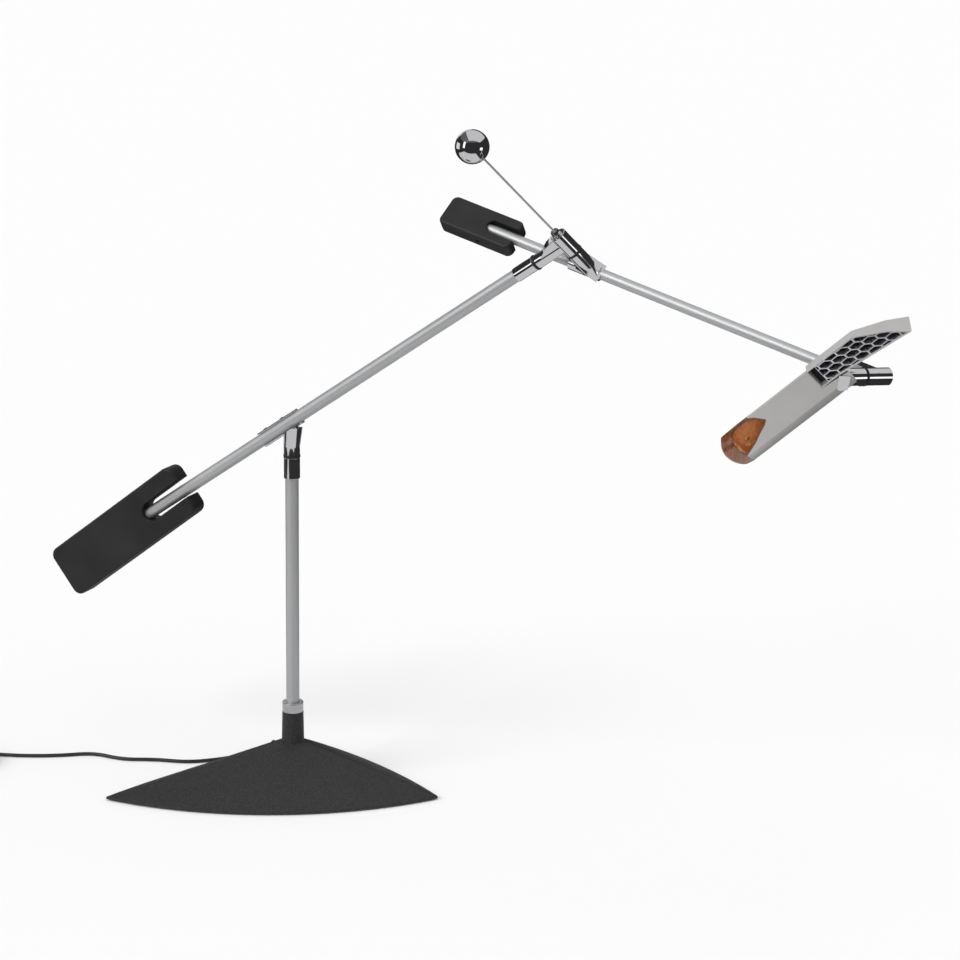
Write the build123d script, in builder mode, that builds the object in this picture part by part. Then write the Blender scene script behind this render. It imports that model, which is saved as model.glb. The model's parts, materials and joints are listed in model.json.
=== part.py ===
"""Counterweight balance desk lamp: heavy base, swivelling post, two weighted arms and a long LED head.

Millimetres, +Z up. The origin is the point on the table under the post's axis, +X runs to the
right of the photograph and +Y away from the camera. The lamp stands in the pose photographed.
"""
import os
from math import acos, asin, atan2, cos, pi, radians, sin, sqrt, tan

from build123d import *

os.makedirs("parts", exist_ok=True)

# ---------------------------------------------------------------- driving dimensions (mm)
TIP_LEFT = Vector(-177.8, -57.9)      # the three corners of the base, seen from above
TIP_RIGHT = Vector(145.4, -41.9)
TIP_BACK = Vector(8, 104)
FRONT_BULGE = 38.8                    # how far the front edge curves out of its chord
BACK_BULGE = 10.0
PAD_THICKNESS = 1.5
RIM_THICKNESS = 2.5
PAD_SHARE = 0.80                      # outlines inside the base, as shares of its own outline
RECESS_SHARE = 0.93
COVER_SHARE = 0.925
CAVITY_SHARE = 0.86
BALLAST_SHARE = 0.50
COVER_THICKNESS = 2.0
BALLAST_THICKNESS = 10.0
CAVITY_TOP = 33.0
CAVITY_TOP_RADIUS = 14.0

NECK_BOTTOM = 43.8
NECK_TOP = 75.0
NECK_BOTTOM_DIAMETER = 22.3
NECK_TOP_DIAMETER = 21.0
COLLAR_DIAMETER = 20.8
COLLAR_HEIGHT = 10.0
POST_DIAMETER = 13.0
POST_WALL = 1.5
LOCKNUT_DIAMETER = 22.0
LOCKNUT_HEIGHT = 7.0
POST_FERRULE_DIAMETER = 15.6
POST_FERRULE_LENGTH = 20.9
POST_FERRULE_DROP = 35.7              # from the crossing down to the ferrule's top
POST_TUBE_DROP = 47.3                 # from the crossing down to the tube's end
POST_RING_DIAMETER = 16.4
POST_RING_THICKNESS = 3.0

SADDLE_ANGLE = 55.0                   # between a barrel and the arm tube that crosses it
ARM_TURN = -23.7                      # pose: lower arm's bearing about the post
ELBOW_ROLL = 122.2                    # pose: elbow about the lower arm
UPPER_ARM_TURN = 37.6                 # pose: upper arm about the elbow barrel
HEAD_ROLL = -84.3                     # pose: head barrel about the upper arm
CROSSING_HEIGHT = 370.3               # lower arm's axis over the post
LOWER_ARM_REACH = 339.0               # post axis to elbow barrel axis
ELBOW_OFFSET = 37.3                   # elbow centre to upper arm axis, along the barrel
UPPER_ARM_REACH = 287.1               # elbow crossing to where the head barrel crosses
HEAD_OFFSET = 8.7                     # the head barrel's axis passes the arm's by this much

SPINDLE_DIAMETER = 8.0                # post and lower arm's end
SMALL_SPINDLE_DIAMETER = 6.0          # elbow, upper arm's end and head
RUN_GAP = 0.05                        # running clearance of a spindle and of a ring's face
SEAT_GAP = 0.10                       # between fixed pieces of one body that only lie together

LOWER_TUBE_DIAMETER = 12.0
LOWER_TUBE_WALL = 1.4
LOWER_CRADLE_DIAMETER = 15.2
LOWER_CRADLE_BACK = -39.2
LOWER_CRADLE_FRONT = 11.0
CRADLE_LIP = 2.0                      # lips reach this far past the tube's middle
LOWER_FERRULE_DIAMETER = 13.6
LOWER_FERRULE_LENGTH = 22.2
LOWER_FERRULE_INSIDE = 35.2           # from the elbow barrel's axis back to the ferrule's end
LOWER_RING_DIAMETER = 15.0
RING_THICKNESS = 2.2
LOWER_WEIGHT_TIPS = -141.0
LOWER_WEIGHT_SLOT = 47.0
LOWER_WEIGHT_LENGTH = 179.0
LOWER_WEIGHT_WIDTH = 54.0
LOWER_WEIGHT_THICKNESS = 22.0
LOWER_SLOT_WIDTH = 19.0
LOWER_WEIGHT_DROOP = 2.6
LOWER_TUBE_GRIP = 25.0                # tube held in the weight past its slot

ELBOW_BARREL_DIAMETER = 15.6
ELBOW_NECK_DIAMETER = 13.6
ELBOW_BACK = -11.7
ELBOW_FRONT = 10.6
BALL_DIAMETER = 30.3
BALL_CENTRE = -128.4
ROD_DIAMETER = 2.0
NUT_FLATS = 7.0
NUT_THICKNESS = 3.8
NUT_BOSS_DIAMETER = 11.0
NUT_BOSS_HEIGHT = 1.5

UPPER_TUBE_DIAMETER = 10.0
UPPER_TUBE_WALL = 1.2
UPPER_SLEEVE_DIAMETER = 13.6
UPPER_SLEEVE_BACK = -22.0
UPPER_SLEEVE_FRONT = 9.7
UPPER_WEIGHT_TIPS = -79.5
UPPER_WEIGHT_SLOT = 25.8
UPPER_WEIGHT_LENGTH = 78.1
UPPER_WEIGHT_WIDTH = 32.0
UPPER_WEIGHT_THICKNESS = 16.0
UPPER_SLOT_WIDTH = 13.0
UPPER_TUBE_GRIP = 15.0

YOKE_BARREL_DIAMETER = 15.2
YOKE_FRONT = 6.8
YOKE_BACK = -16.5
HEAD_SLEEVE_LENGTH = 38.0
HEAD_WEB_CHEEK = 6.0
HEAD_TUBE_SHORT = 17.0                # the tube ends this far before the head barrel's axis
HEAD_SPINDLE_BORE = -8.0
HEAD_RING_DIAMETER = 16.3
HEAD_RING_THICKNESS = 2.4
LUG_FACE = YOKE_BACK - HEAD_RING_THICKNESS
LUG_BACK = -45.5
LUG_DIAMETER = 15.2

CORD_DIAMETER = 3.6
CORD_GAP = 0.5                        # between turns of the coil
COIL_MIDDLE_RADIUS = 21.6
COIL_TURNS_ACROSS = 3
COIL_LAYERS = 4

# ---------------------------------------------------------------- directions and frames
UP = Vector(0, 0, 1)


def turned(direction, about, angle):
    """The direction turned about another one by an angle in degrees."""
    return direction.rotate(Axis((0, 0, 0), about), angle)


LOWER_DIR = turned(turned(Vector(1, 0, 0), Vector(0, 1, 0), SADDLE_ANGLE - 90), UP, ARM_TURN)
LOWER_SIDE = LOWER_DIR.cross(UP).normalized()
ELBOW_DIR = turned(LOWER_SIDE, LOWER_DIR, ELBOW_ROLL)
UPPER_SIDE = turned(LOWER_DIR, ELBOW_DIR, UPPER_ARM_TURN)
UPPER_DIR = ELBOW_DIR * cos(radians(SADDLE_ANGLE)) + UPPER_SIDE * sin(radians(SADDLE_ANGLE))
ABOVE_UPPER = (UP - UPPER_DIR * UPPER_DIR.dot(UP)).normalized()
YOKE_SIDE = turned(ABOVE_UPPER, UPPER_DIR, HEAD_ROLL)
HEAD_DIR = UPPER_DIR * cos(radians(SADDLE_ANGLE)) + YOKE_SIDE * sin(radians(SADDLE_ANGLE))

POST_CROSSING = Vector(0, 0, CROSSING_HEIGHT)
ELBOW = POST_CROSSING + LOWER_DIR * LOWER_ARM_REACH
ELBOW_CROSSING = ELBOW + ELBOW_DIR * ELBOW_OFFSET
HEAD_CROSSING = ELBOW_CROSSING + UPPER_DIR * UPPER_ARM_REACH \
    + UPPER_DIR.cross(HEAD_DIR).normalized() * HEAD_OFFSET

LOWER_PLANE = Plane(POST_CROSSING, x_dir=LOWER_DIR, z_dir=LOWER_SIDE)
ELBOW_PLANE = Plane(ELBOW, x_dir=LOWER_DIR, z_dir=LOWER_DIR.cross(ELBOW_DIR))
UPPER_PLANE = Plane(ELBOW_CROSSING, x_dir=UPPER_DIR, z_dir=UPPER_DIR.cross(ELBOW_DIR))
YOKE_PLANE = Plane(HEAD_CROSSING, x_dir=UPPER_DIR, z_dir=UPPER_DIR.cross(HEAD_DIR))


def rod_between(plane_origin, direction, start, end, diameter, hole=0):
    """A round bar or tube along a direction, from one station on it to another."""
    with BuildPart(Plane(plane_origin + direction * start, z_dir=direction)) as bar:
        Cylinder(diameter / 2, end - start, align=(Align.CENTER, Align.CENTER, Align.MIN))
        if hole:
            Cylinder(hole / 2, end - start, align=(Align.CENTER, Align.CENTER, Align.MIN),
                     mode=Mode.SUBTRACT)
    return bar.part


def finish(piece, label):
    """Name a piece and write its STEP file."""
    piece.label = label
    export_step(piece, "parts/" + label + ".step")


# ---------------------------------------------------------------- base
def bulged(start, end, bulge):
    """The middle of an edge that curves out of its chord, away from the post."""
    middle = (start + end) / 2
    outward = Vector(end.Y - start.Y, start.X - end.X).normalized()
    if outward.dot(middle) < 0:
        outward = outward * -1
    return middle + outward * bulge


TIPS = [TIP_LEFT, TIP_RIGHT, TIP_BACK]
BULGES = [FRONT_BULGE, BACK_BULGE, BACK_BULGE]


def outline(share):
    """The three-cornered outline of the base, as a share of its full size about the post."""
    for index in range(3):
        start = TIPS[index]
        end = TIPS[(index + 1) % 3]
        ThreePointArc(start * share, bulged(start, end, BULGES[index]) * share, end * share)


def round_outline(radius):
    """A circle cut at the bearings of the three corners, so that a loft stays untwisted."""
    for index in range(3):
        start = TIPS[index].normalized() * radius
        end = TIPS[(index + 1) % 3].normalized() * radius
        middle = bulged(TIPS[index], TIPS[(index + 1) % 3], 0).normalized() * radius
        ThreePointArc(start, middle, end)


def base_cone(low, low_share, high, high_radius):
    """A straight-sided cone from the three-cornered outline up to a circle."""
    with BuildPart() as cone:
        with BuildSketch(Plane.XY.offset(low)):
            with BuildLine():
                outline(low_share)
            make_face()
        with BuildSketch(Plane.XY.offset(high)):
            with BuildLine():
                round_outline(high_radius)
            make_face()
        loft(ruled=True)
    return cone.part


def base_plate(low, thickness, share, hole=0):
    """A flat plate of the base's outline."""
    with BuildPart() as plate:
        with BuildSketch(Plane.XY.offset(low)):
            with BuildLine():
                outline(share)
            make_face()
            if hole:
                Circle(hole / 2, mode=Mode.SUBTRACT)
        extrude(amount=thickness)
    return plate.part


RIM_TOP = PAD_THICKNESS + RIM_THICKNESS
COVER_TOP = PAD_THICKNESS + COVER_THICKNESS
COLLAR_TOP = NECK_TOP + COLLAR_HEIGHT
POST_BOTTOM = CAVITY_TOP - LOCKNUT_HEIGHT
POST_TOP = CROSSING_HEIGHT - POST_TUBE_DROP
POST_FERRULE_TOP = CROSSING_HEIGHT - POST_FERRULE_DROP
POST_FERRULE_BOTTOM = POST_FERRULE_TOP - POST_FERRULE_LENGTH
LOWER_FERRULE_END = LOWER_ARM_REACH - LOWER_FERRULE_INSIDE
LOWER_FERRULE_START = LOWER_FERRULE_END - LOWER_FERRULE_LENGTH

# the cord leaves the shell over its back left edge, between the rim and the cavity
GLAND_DIAMETER = 6.4
GLAND_CLEAR = 0.4                     # from the rim up to the gland
GLAND_INSIDE = Vector(-12, 71.5, RIM_TOP + GLAND_CLEAR + GLAND_DIAMETER / 2)
GLAND_DIR = Vector(-0.8, 0.6, 0)
GLAND_LENGTH = 20.0
CORD_FIRST_RUN = 34.0

with BuildPart() as base_shell:
    add(base_cone(RIM_TOP, 1.0, NECK_BOTTOM, NECK_BOTTOM_DIAMETER / 2))
    add(base_plate(PAD_THICKNESS, RIM_THICKNESS, 1.0))
    with BuildSketch(Plane.XY.offset(NECK_BOTTOM)):
        Circle(NECK_BOTTOM_DIAMETER / 2)
    with BuildSketch(Plane.XY.offset(NECK_TOP)):
        Circle(NECK_TOP_DIAMETER / 2)
    loft(ruled=True)
    add(base_plate(PAD_THICKNESS, COVER_THICKNESS, RECESS_SHARE), mode=Mode.SUBTRACT)
    add(base_cone(COVER_TOP, CAVITY_SHARE, CAVITY_TOP, CAVITY_TOP_RADIUS), mode=Mode.SUBTRACT)
    add(rod_between(Vector(), UP, 0, NECK_TOP + 1, POST_DIAMETER), mode=Mode.SUBTRACT)
    add(rod_between(GLAND_INSIDE, GLAND_DIR, -GLAND_LENGTH, GLAND_LENGTH, GLAND_DIAMETER),
        mode=Mode.SUBTRACT)
finish(base_shell.part, "base_shell")

with BuildPart() as base_cover:
    add(base_plate(PAD_THICKNESS, COVER_THICKNESS, COVER_SHARE))
finish(base_cover.part, "base_cover")

with BuildPart() as foot_pad:
    add(base_plate(0, PAD_THICKNESS, PAD_SHARE))
finish(foot_pad.part, "foot_pad")

with BuildPart() as ballast_plate:
    add(base_plate(COVER_TOP, BALLAST_THICKNESS, BALLAST_SHARE))
finish(ballast_plate.part, "ballast_plate")

with BuildPart() as base_collar:
    add(rod_between(Vector(), UP, NECK_TOP, COLLAR_TOP, COLLAR_DIAMETER, POST_DIAMETER))
    fillet(base_collar.faces().sort_by(Axis.Z)[-1].outer_wire().edges(), 1.0)
finish(base_collar.part, "base_collar")

with BuildPart() as post_tube:
    add(rod_between(Vector(), UP, POST_BOTTOM, POST_TOP, POST_DIAMETER,
                    POST_DIAMETER - 2 * POST_WALL))
finish(post_tube.part, "post_tube")

with BuildPart() as post_locknut:
    with BuildSketch(Plane.XY.offset(POST_BOTTOM)):
        RegularPolygon(LOCKNUT_DIAMETER / 2, 6)
        Circle(POST_DIAMETER / 2, mode=Mode.SUBTRACT)
    extrude(amount=LOCKNUT_HEIGHT)
finish(post_locknut.part, "post_locknut")


# ---------------------------------------------------------------- ferrules, rings and spindles
def ferrule(plane_origin, direction, start, end, diameter, tube_diameter, tube_end, spindle):
    """A turned cap over a tube's end, bored for the tube below and for the spindle above."""
    with BuildPart() as cap:
        add(rod_between(plane_origin, direction, start, end, diameter))
        outer = cap.faces().filter_by(GeomType.PLANE).edges()
        chamfer(outer, 0.4)
        add(rod_between(plane_origin, direction, start, tube_end, tube_diameter),
            mode=Mode.SUBTRACT)
        add(rod_between(plane_origin, direction, tube_end, end, spindle), mode=Mode.SUBTRACT)
    return cap.part


def ring(plane_origin, direction, start, thickness, diameter, spindle):
    """A black bearing ring round a spindle, just clear of the piece that turns on it."""
    with BuildPart() as washer:
        add(rod_between(plane_origin, direction, start, start + thickness - RUN_GAP, diameter))
        outer = washer.faces().filter_by(GeomType.PLANE).edges()
        fillet(outer, 0.5)
        add(rod_between(plane_origin, direction, start, start + thickness, spindle),
            mode=Mode.SUBTRACT)
    return washer.part


SADDLE_BOTTOM = POST_FERRULE_TOP + POST_RING_THICKNESS
POST_SPINDLE_STOP = 12.0              # below the crossing
POST_SPINDLE_TOP = CROSSING_HEIGHT - POST_SPINDLE_STOP

with BuildPart() as post_ferrule:
    add(ferrule(Vector(), UP, POST_FERRULE_BOTTOM, POST_FERRULE_TOP, POST_FERRULE_DIAMETER,
                POST_DIAMETER, POST_TOP, SPINDLE_DIAMETER))
finish(post_ferrule.part, "post_ferrule")

with BuildPart() as post_spindle:
    add(rod_between(Vector(), UP, POST_TOP, POST_SPINDLE_TOP, SPINDLE_DIAMETER))
finish(post_spindle.part, "post_spindle")

with BuildPart() as post_ring:
    add(ring(Vector(), UP, POST_FERRULE_TOP, POST_RING_THICKNESS, POST_RING_DIAMETER,
             SPINDLE_DIAMETER))
finish(post_ring.part, "post_ring")

# ---------------------------------------------------------------- lower arm
SADDLE_FLARE_Z = CROSSING_HEIGHT - 5.3
SADDLE_FLARE_RADIUS = 9.15
SADDLE_FLARE_SHIFT = 1.45
SADDLE_STRAIGHT_TOP = CROSSING_HEIGHT - 25.3
SADDLE_BORE_TOP = POST_SPINDLE_TOP + 1.0
SCOOP_DROP = 17.0                     # how far below the cradle the scooped flat runs out
HEADING = Vector(cos(radians(ARM_TURN)), sin(radians(ARM_TURN)), 0)

with BuildPart() as lower_saddle:
    add(rod_between(Vector(), UP, SADDLE_BOTTOM, SADDLE_STRAIGHT_TOP, POST_FERRULE_DIAMETER))
    with BuildSketch(Plane.XY.offset(SADDLE_STRAIGHT_TOP)):
        Circle(POST_FERRULE_DIAMETER / 2)
    with BuildSketch(Plane(HEADING * SADDLE_FLARE_SHIFT + UP * SADDLE_FLARE_Z, z_dir=UP)):
        Circle(SADDLE_FLARE_RADIUS)
    loft(ruled=True)
    add(rod_between(POST_CROSSING, LOWER_DIR, LOWER_CRADLE_BACK, LOWER_CRADLE_FRONT,
                    LOWER_CRADLE_DIAMETER))
    with BuildPart(LOWER_PLANE, mode=Mode.SUBTRACT):
        with BuildSketch(Plane(POST_CROSSING + LOWER_DIR * LOWER_CRADLE_BACK * 1.5,
                               x_dir=LOWER_PLANE.y_dir, z_dir=LOWER_DIR)):
            reach = LOWER_CRADLE_DIAMETER
            lip = LOWER_CRADLE_DIAMETER / 2
            with BuildLine():
                Polyline((reach, -CRADLE_LIP), (reach, -reach), (-lip - SCOOP_DROP, -reach),
                         (-lip - SCOOP_DROP, -POST_FERRULE_DIAMETER / 2 - 1),
                         (-lip, -CRADLE_LIP), close=True)
            make_face()
        extrude(amount=abs(LOWER_CRADLE_BACK) * 3)
    add(rod_between(POST_CROSSING, LOWER_DIR, LOWER_CRADLE_BACK * 2, LOWER_CRADLE_FRONT * 4,
                    LOWER_TUBE_DIAMETER), mode=Mode.SUBTRACT)
    add(rod_between(Vector(), UP, SADDLE_BOTTOM, SADDLE_BORE_TOP,
                    SPINDLE_DIAMETER + 2 * RUN_GAP), mode=Mode.SUBTRACT)
finish(lower_saddle.part, "lower_saddle")

SADDLE_SCREWS = [-30.0, -8.0]
SCREW_DIAMETER = 4.0
SCREW_PROUD = 0.6

with BuildPart() as lower_saddle_screws:
    for station in SADDLE_SCREWS:
        add(rod_between(POST_CROSSING + LOWER_DIR * station, LOWER_PLANE.y_dir,
                        LOWER_CRADLE_DIAMETER / 2 - 0.2, LOWER_CRADLE_DIAMETER / 2 + SCREW_PROUD,
                        SCREW_DIAMETER))
    add(lower_saddle.part, mode=Mode.SUBTRACT)
finish(lower_saddle_screws.part, "lower_saddle_screws")

LOWER_SLOT_END = LOWER_WEIGHT_TIPS - LOWER_WEIGHT_SLOT
LOWER_TUBE_BACK = LOWER_SLOT_END - LOWER_TUBE_GRIP
LOWER_TUBE_FRONT = LOWER_FERRULE_START + LOWER_FERRULE_LENGTH / 2

with BuildPart() as lower_arm_tube:
    add(rod_between(POST_CROSSING, LOWER_DIR, LOWER_TUBE_BACK, LOWER_TUBE_FRONT,
                    LOWER_TUBE_DIAMETER, LOWER_TUBE_DIAMETER - 2 * LOWER_TUBE_WALL))
finish(lower_arm_tube.part, "lower_arm_tube")


def weight(plane, slot_end, slot, length, width, thickness, slot_width, droop, corner, edge):
    """A slotted block over an arm's tail, its prongs either side of the tube."""
    pivot = plane.origin + plane.x_dir * slot_end
    hung = Plane(pivot, x_dir=turned(plane.x_dir, plane.z_dir, droop), z_dir=plane.z_dir)
    with BuildPart(hung) as block:
        middle = slot - length / 2
        with Locations((middle, 0, 0)):
            Box(length, width, thickness)
        corners = block.edges().filter_by(Axis(pivot, plane.z_dir))
        fillet(corners, corner)
        flats = block.faces().filter_by(Plane(pivot, z_dir=plane.z_dir))
        fillet(flats.edges(), edge)
        with BuildSketch(hung.offset(-thickness)):
            with Locations((slot / 2 + slot_width / 2, 0)):
                Rectangle(slot + slot_width, slot_width)
            Circle(slot_width / 2)
        extrude(amount=2 * thickness, mode=Mode.SUBTRACT)
    return block.part


def bored_weight(block, plane, slot_end, slot, grip, tube_diameter):
    """The block with the bore that holds the arm's tail."""
    with BuildPart() as bored:
        add(block)
        add(rod_between(plane.origin, plane.x_dir, slot_end - grip, slot_end + slot * 2,
                        tube_diameter), mode=Mode.SUBTRACT)
    return bored.part


LOWER_WEIGHT_CORNER = 9.0
UPPER_WEIGHT_CORNER = 6.0
WEIGHT_EDGE = 2.5

with BuildPart() as lower_counterweight:
    add(bored_weight(weight(LOWER_PLANE, LOWER_SLOT_END, LOWER_WEIGHT_SLOT, LOWER_WEIGHT_LENGTH,
                            LOWER_WEIGHT_WIDTH, LOWER_WEIGHT_THICKNESS, LOWER_SLOT_WIDTH,
                            LOWER_WEIGHT_DROOP, LOWER_WEIGHT_CORNER, WEIGHT_EDGE),
                     LOWER_PLANE, LOWER_SLOT_END, LOWER_WEIGHT_SLOT, LOWER_TUBE_GRIP,
                     LOWER_TUBE_DIAMETER))
    LOWER_PIN_STATION = LOWER_SLOT_END - LOWER_TUBE_GRIP * 0.7
    add(rod_between(POST_CROSSING + LOWER_DIR * LOWER_PIN_STATION, LOWER_PLANE.y_dir,
                    LOWER_TUBE_DIAMETER / 2, LOWER_WEIGHT_WIDTH, SCREW_DIAMETER),
        mode=Mode.SUBTRACT)
finish(lower_counterweight.part, "lower_counterweight")

PIN_LENGTH = 10.0

with BuildPart() as lower_weight_pin:
    add(rod_between(POST_CROSSING + LOWER_DIR * LOWER_PIN_STATION, LOWER_PLANE.y_dir,
                    LOWER_TUBE_DIAMETER / 2, LOWER_TUBE_DIAMETER / 2 + PIN_LENGTH,
                    SCREW_DIAMETER))
finish(lower_weight_pin.part, "lower_weight_pin")

with BuildPart() as lower_arm_ferrule:
    add(ferrule(POST_CROSSING, LOWER_DIR, LOWER_FERRULE_START, LOWER_FERRULE_END,
                LOWER_FERRULE_DIAMETER, LOWER_TUBE_DIAMETER, LOWER_TUBE_FRONT,
                SPINDLE_DIAMETER))
finish(lower_arm_ferrule.part, "lower_arm_ferrule")

ELBOW_NECK_START = LOWER_FERRULE_END + RING_THICKNESS
ELBOW_ROLL_STOP = 13.0                # before the elbow's middle
ELBOW_ROLL_END = LOWER_ARM_REACH - ELBOW_ROLL_STOP

with BuildPart() as elbow_roll_spindle:
    add(rod_between(POST_CROSSING, LOWER_DIR, LOWER_TUBE_FRONT, ELBOW_ROLL_END,
                    SPINDLE_DIAMETER))
finish(elbow_roll_spindle.part, "elbow_roll_spindle")

with BuildPart() as elbow_roll_ring:
    add(ring(POST_CROSSING, LOWER_DIR, LOWER_FERRULE_END, RING_THICKNESS, LOWER_RING_DIAMETER,
             SPINDLE_DIAMETER))
finish(elbow_roll_ring.part, "elbow_roll_ring")


# ---------------------------------------------------------------- elbow
def knuckle(plane, barrel_dir, neck_start, neck_diameter, barrel_back, barrel_front,
            barrel_diameter, flat_start, flat_end, cheek):
    """A barrel across the end of a neck, their corner filled and cut by one slanted flat."""
    neck = neck_diameter / 2
    half = barrel_diameter / 2
    with BuildPart() as casting:
        add(rod_between(plane.origin, plane.x_dir, neck_start, 0, neck_diameter))
        add(rod_between(plane.origin, barrel_dir, barrel_back, barrel_front, barrel_diameter))
        with BuildSketch(plane.offset(-cheek)):
            with BuildLine():
                Polyline((neck_start + 3, -neck), (neck_start + 15, -neck - 0.7),
                         (-half, barrel_back), (0, barrel_back), (0, barrel_front),
                         (-half, barrel_front), (-half - 4, neck), (neck_start + 3, neck),
                         close=True)
            make_face()
        extrude(amount=2 * cheek)
        with BuildSketch(Plane(plane.origin, x_dir=plane.x_dir, z_dir=plane.y_dir * -1)):
            far = flat_end + (flat_end - flat_start) / abs(neck_start) * half * 2
            with BuildLine():
                Polyline((neck_start, flat_start), (neck_start, -barrel_diameter),
                         (2 * half, -barrel_diameter), (2 * half, far), close=True)
            make_face()
        extrude(amount=barrel_diameter * 2, both=True, mode=Mode.SUBTRACT)
    return casting.part


ELBOW_FLAT_START = -6.8
ELBOW_FLAT_END = -4.6
ELBOW_CHEEK = 6.7
ELBOW_NECK = ELBOW_NECK_START - LOWER_ARM_REACH
ELBOW_RING_END = ELBOW_FRONT + RING_THICKNESS
ELBOW_SPINDLE_START = -1.0
ELBOW_SPINDLE_END = ELBOW_OFFSET - 9.0
NUT_START = ELBOW_BACK - NUT_BOSS_HEIGHT
ROD_END = ELBOW_BACK + 6.0

with BuildPart() as elbow_casting:
    add(knuckle(ELBOW_PLANE, ELBOW_DIR, ELBOW_NECK, ELBOW_NECK_DIAMETER, ELBOW_BACK, ELBOW_FRONT,
                ELBOW_BARREL_DIAMETER, ELBOW_FLAT_START, ELBOW_FLAT_END, ELBOW_CHEEK))
    add(rod_between(ELBOW, ELBOW_DIR, NUT_START, ELBOW_BACK, NUT_BOSS_DIAMETER - 3.0))
    add(rod_between(POST_CROSSING, LOWER_DIR, ELBOW_NECK_START, ELBOW_ROLL_END + 1.0,
                    SPINDLE_DIAMETER + 2 * RUN_GAP), mode=Mode.SUBTRACT)
    add(rod_between(ELBOW, ELBOW_DIR, ELBOW_SPINDLE_START, ELBOW_FRONT,
                    SMALL_SPINDLE_DIAMETER), mode=Mode.SUBTRACT)
    add(rod_between(ELBOW, ELBOW_DIR, NUT_START, ROD_END, ROD_DIAMETER), mode=Mode.SUBTRACT)
finish(elbow_casting.part, "elbow_casting")

with BuildPart() as elbow_spindle:
    add(rod_between(ELBOW, ELBOW_DIR, ELBOW_SPINDLE_START, ELBOW_SPINDLE_END,
                    SMALL_SPINDLE_DIAMETER))
finish(elbow_spindle.part, "elbow_spindle")

with BuildPart() as elbow_ring:
    add(ring(ELBOW, ELBOW_DIR, ELBOW_FRONT, RING_THICKNESS, POST_RING_DIAMETER,
             SMALL_SPINDLE_DIAMETER))
finish(elbow_ring.part, "elbow_ring")

with BuildPart() as rod_nut:
    with BuildSketch(Plane(ELBOW + ELBOW_DIR * (NUT_START - NUT_THICKNESS), z_dir=ELBOW_DIR)):
        RegularPolygon(NUT_FLATS / 2, 6, major_radius=False)
        Circle(ROD_DIAMETER / 2, mode=Mode.SUBTRACT)
    extrude(amount=NUT_THICKNESS)
finish(rod_nut.part, "rod_nut")

ROD_START = BALL_CENTRE + BALL_DIAMETER / 2 - 8.0

with BuildPart() as balance_rod:
    add(rod_between(ELBOW, ELBOW_DIR, ROD_START, ROD_END, ROD_DIAMETER))
finish(balance_rod.part, "balance_rod")

with BuildPart() as balance_ball:
    with BuildPart(Plane(ELBOW + ELBOW_DIR * BALL_CENTRE, z_dir=ELBOW_DIR)):
        Sphere(BALL_DIAMETER / 2)
    add(rod_between(ELBOW, ELBOW_DIR, ROD_START, BALL_CENTRE + BALL_DIAMETER, ROD_DIAMETER),
        mode=Mode.SUBTRACT)
finish(balance_ball.part, "balance_ball")

# ---------------------------------------------------------------- upper arm
WEB_BACK = -13.7
WEB_FRONT = 9.0
WEB_FLAT = 9.0
WEB_CHEEK = 7.4
BISECTOR = (ELBOW_DIR + UPPER_DIR).normalized()
FLAT_DIR = (UPPER_DIR - ELBOW_DIR).normalized()
UPPER_BARREL_START = ELBOW_RING_END - ELBOW_OFFSET

with BuildPart() as upper_saddle:
    add(rod_between(ELBOW_CROSSING, ELBOW_DIR, UPPER_BARREL_START, -2, ELBOW_BARREL_DIAMETER))
    add(rod_between(ELBOW_CROSSING, UPPER_DIR, UPPER_SLEEVE_BACK, UPPER_SLEEVE_FRONT,
                    UPPER_SLEEVE_DIAMETER))
    with BuildPart(Plane(ELBOW_CROSSING, x_dir=BISECTOR, z_dir=FLAT_DIR)):
        with Locations(((WEB_BACK + WEB_FRONT) / 2, 0, WEB_FLAT / 2)):
            Box(WEB_FRONT - WEB_BACK, 2 * WEB_CHEEK, WEB_FLAT)
    add(rod_between(ELBOW_CROSSING, UPPER_DIR, UPPER_SLEEVE_BACK * 2, -UPPER_SLEEVE_BACK * 2,
                    UPPER_TUBE_DIAMETER), mode=Mode.SUBTRACT)
    add(rod_between(ELBOW, ELBOW_DIR, ELBOW_RING_END, ELBOW_SPINDLE_END + 1.0,
                    SMALL_SPINDLE_DIAMETER + 2 * RUN_GAP), mode=Mode.SUBTRACT)
finish(upper_saddle.part, "upper_saddle")

UPPER_SCREW_STATION = -15.0

with BuildPart() as upper_saddle_screws:
    add(rod_between(ELBOW_CROSSING + UPPER_DIR * UPPER_SCREW_STATION, UPPER_PLANE.y_dir,
                    UPPER_SLEEVE_DIAMETER / 2 - 0.2, UPPER_SLEEVE_DIAMETER / 2 + SCREW_PROUD,
                    SCREW_DIAMETER))
    add(upper_saddle.part, mode=Mode.SUBTRACT)
finish(upper_saddle_screws.part, "upper_saddle_screws")

UPPER_SLOT_END = UPPER_WEIGHT_TIPS - UPPER_WEIGHT_SLOT
UPPER_TUBE_BACK = UPPER_SLOT_END - UPPER_TUBE_GRIP
UPPER_TUBE_FRONT = UPPER_ARM_REACH - HEAD_TUBE_SHORT

with BuildPart() as upper_arm_tube:
    add(rod_between(ELBOW_CROSSING, UPPER_DIR, UPPER_TUBE_BACK, UPPER_TUBE_FRONT,
                    UPPER_TUBE_DIAMETER, UPPER_TUBE_DIAMETER - 2 * UPPER_TUBE_WALL))
finish(upper_arm_tube.part, "upper_arm_tube")

# the upper weight's broad face looks across the arm, so its frame is turned a quarter
UPPER_WEIGHT_PLANE = Plane(ELBOW_CROSSING, x_dir=UPPER_DIR, z_dir=UPPER_PLANE.y_dir)
UPPER_PIN_STATION = UPPER_SLOT_END - UPPER_TUBE_GRIP * 0.6

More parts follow.
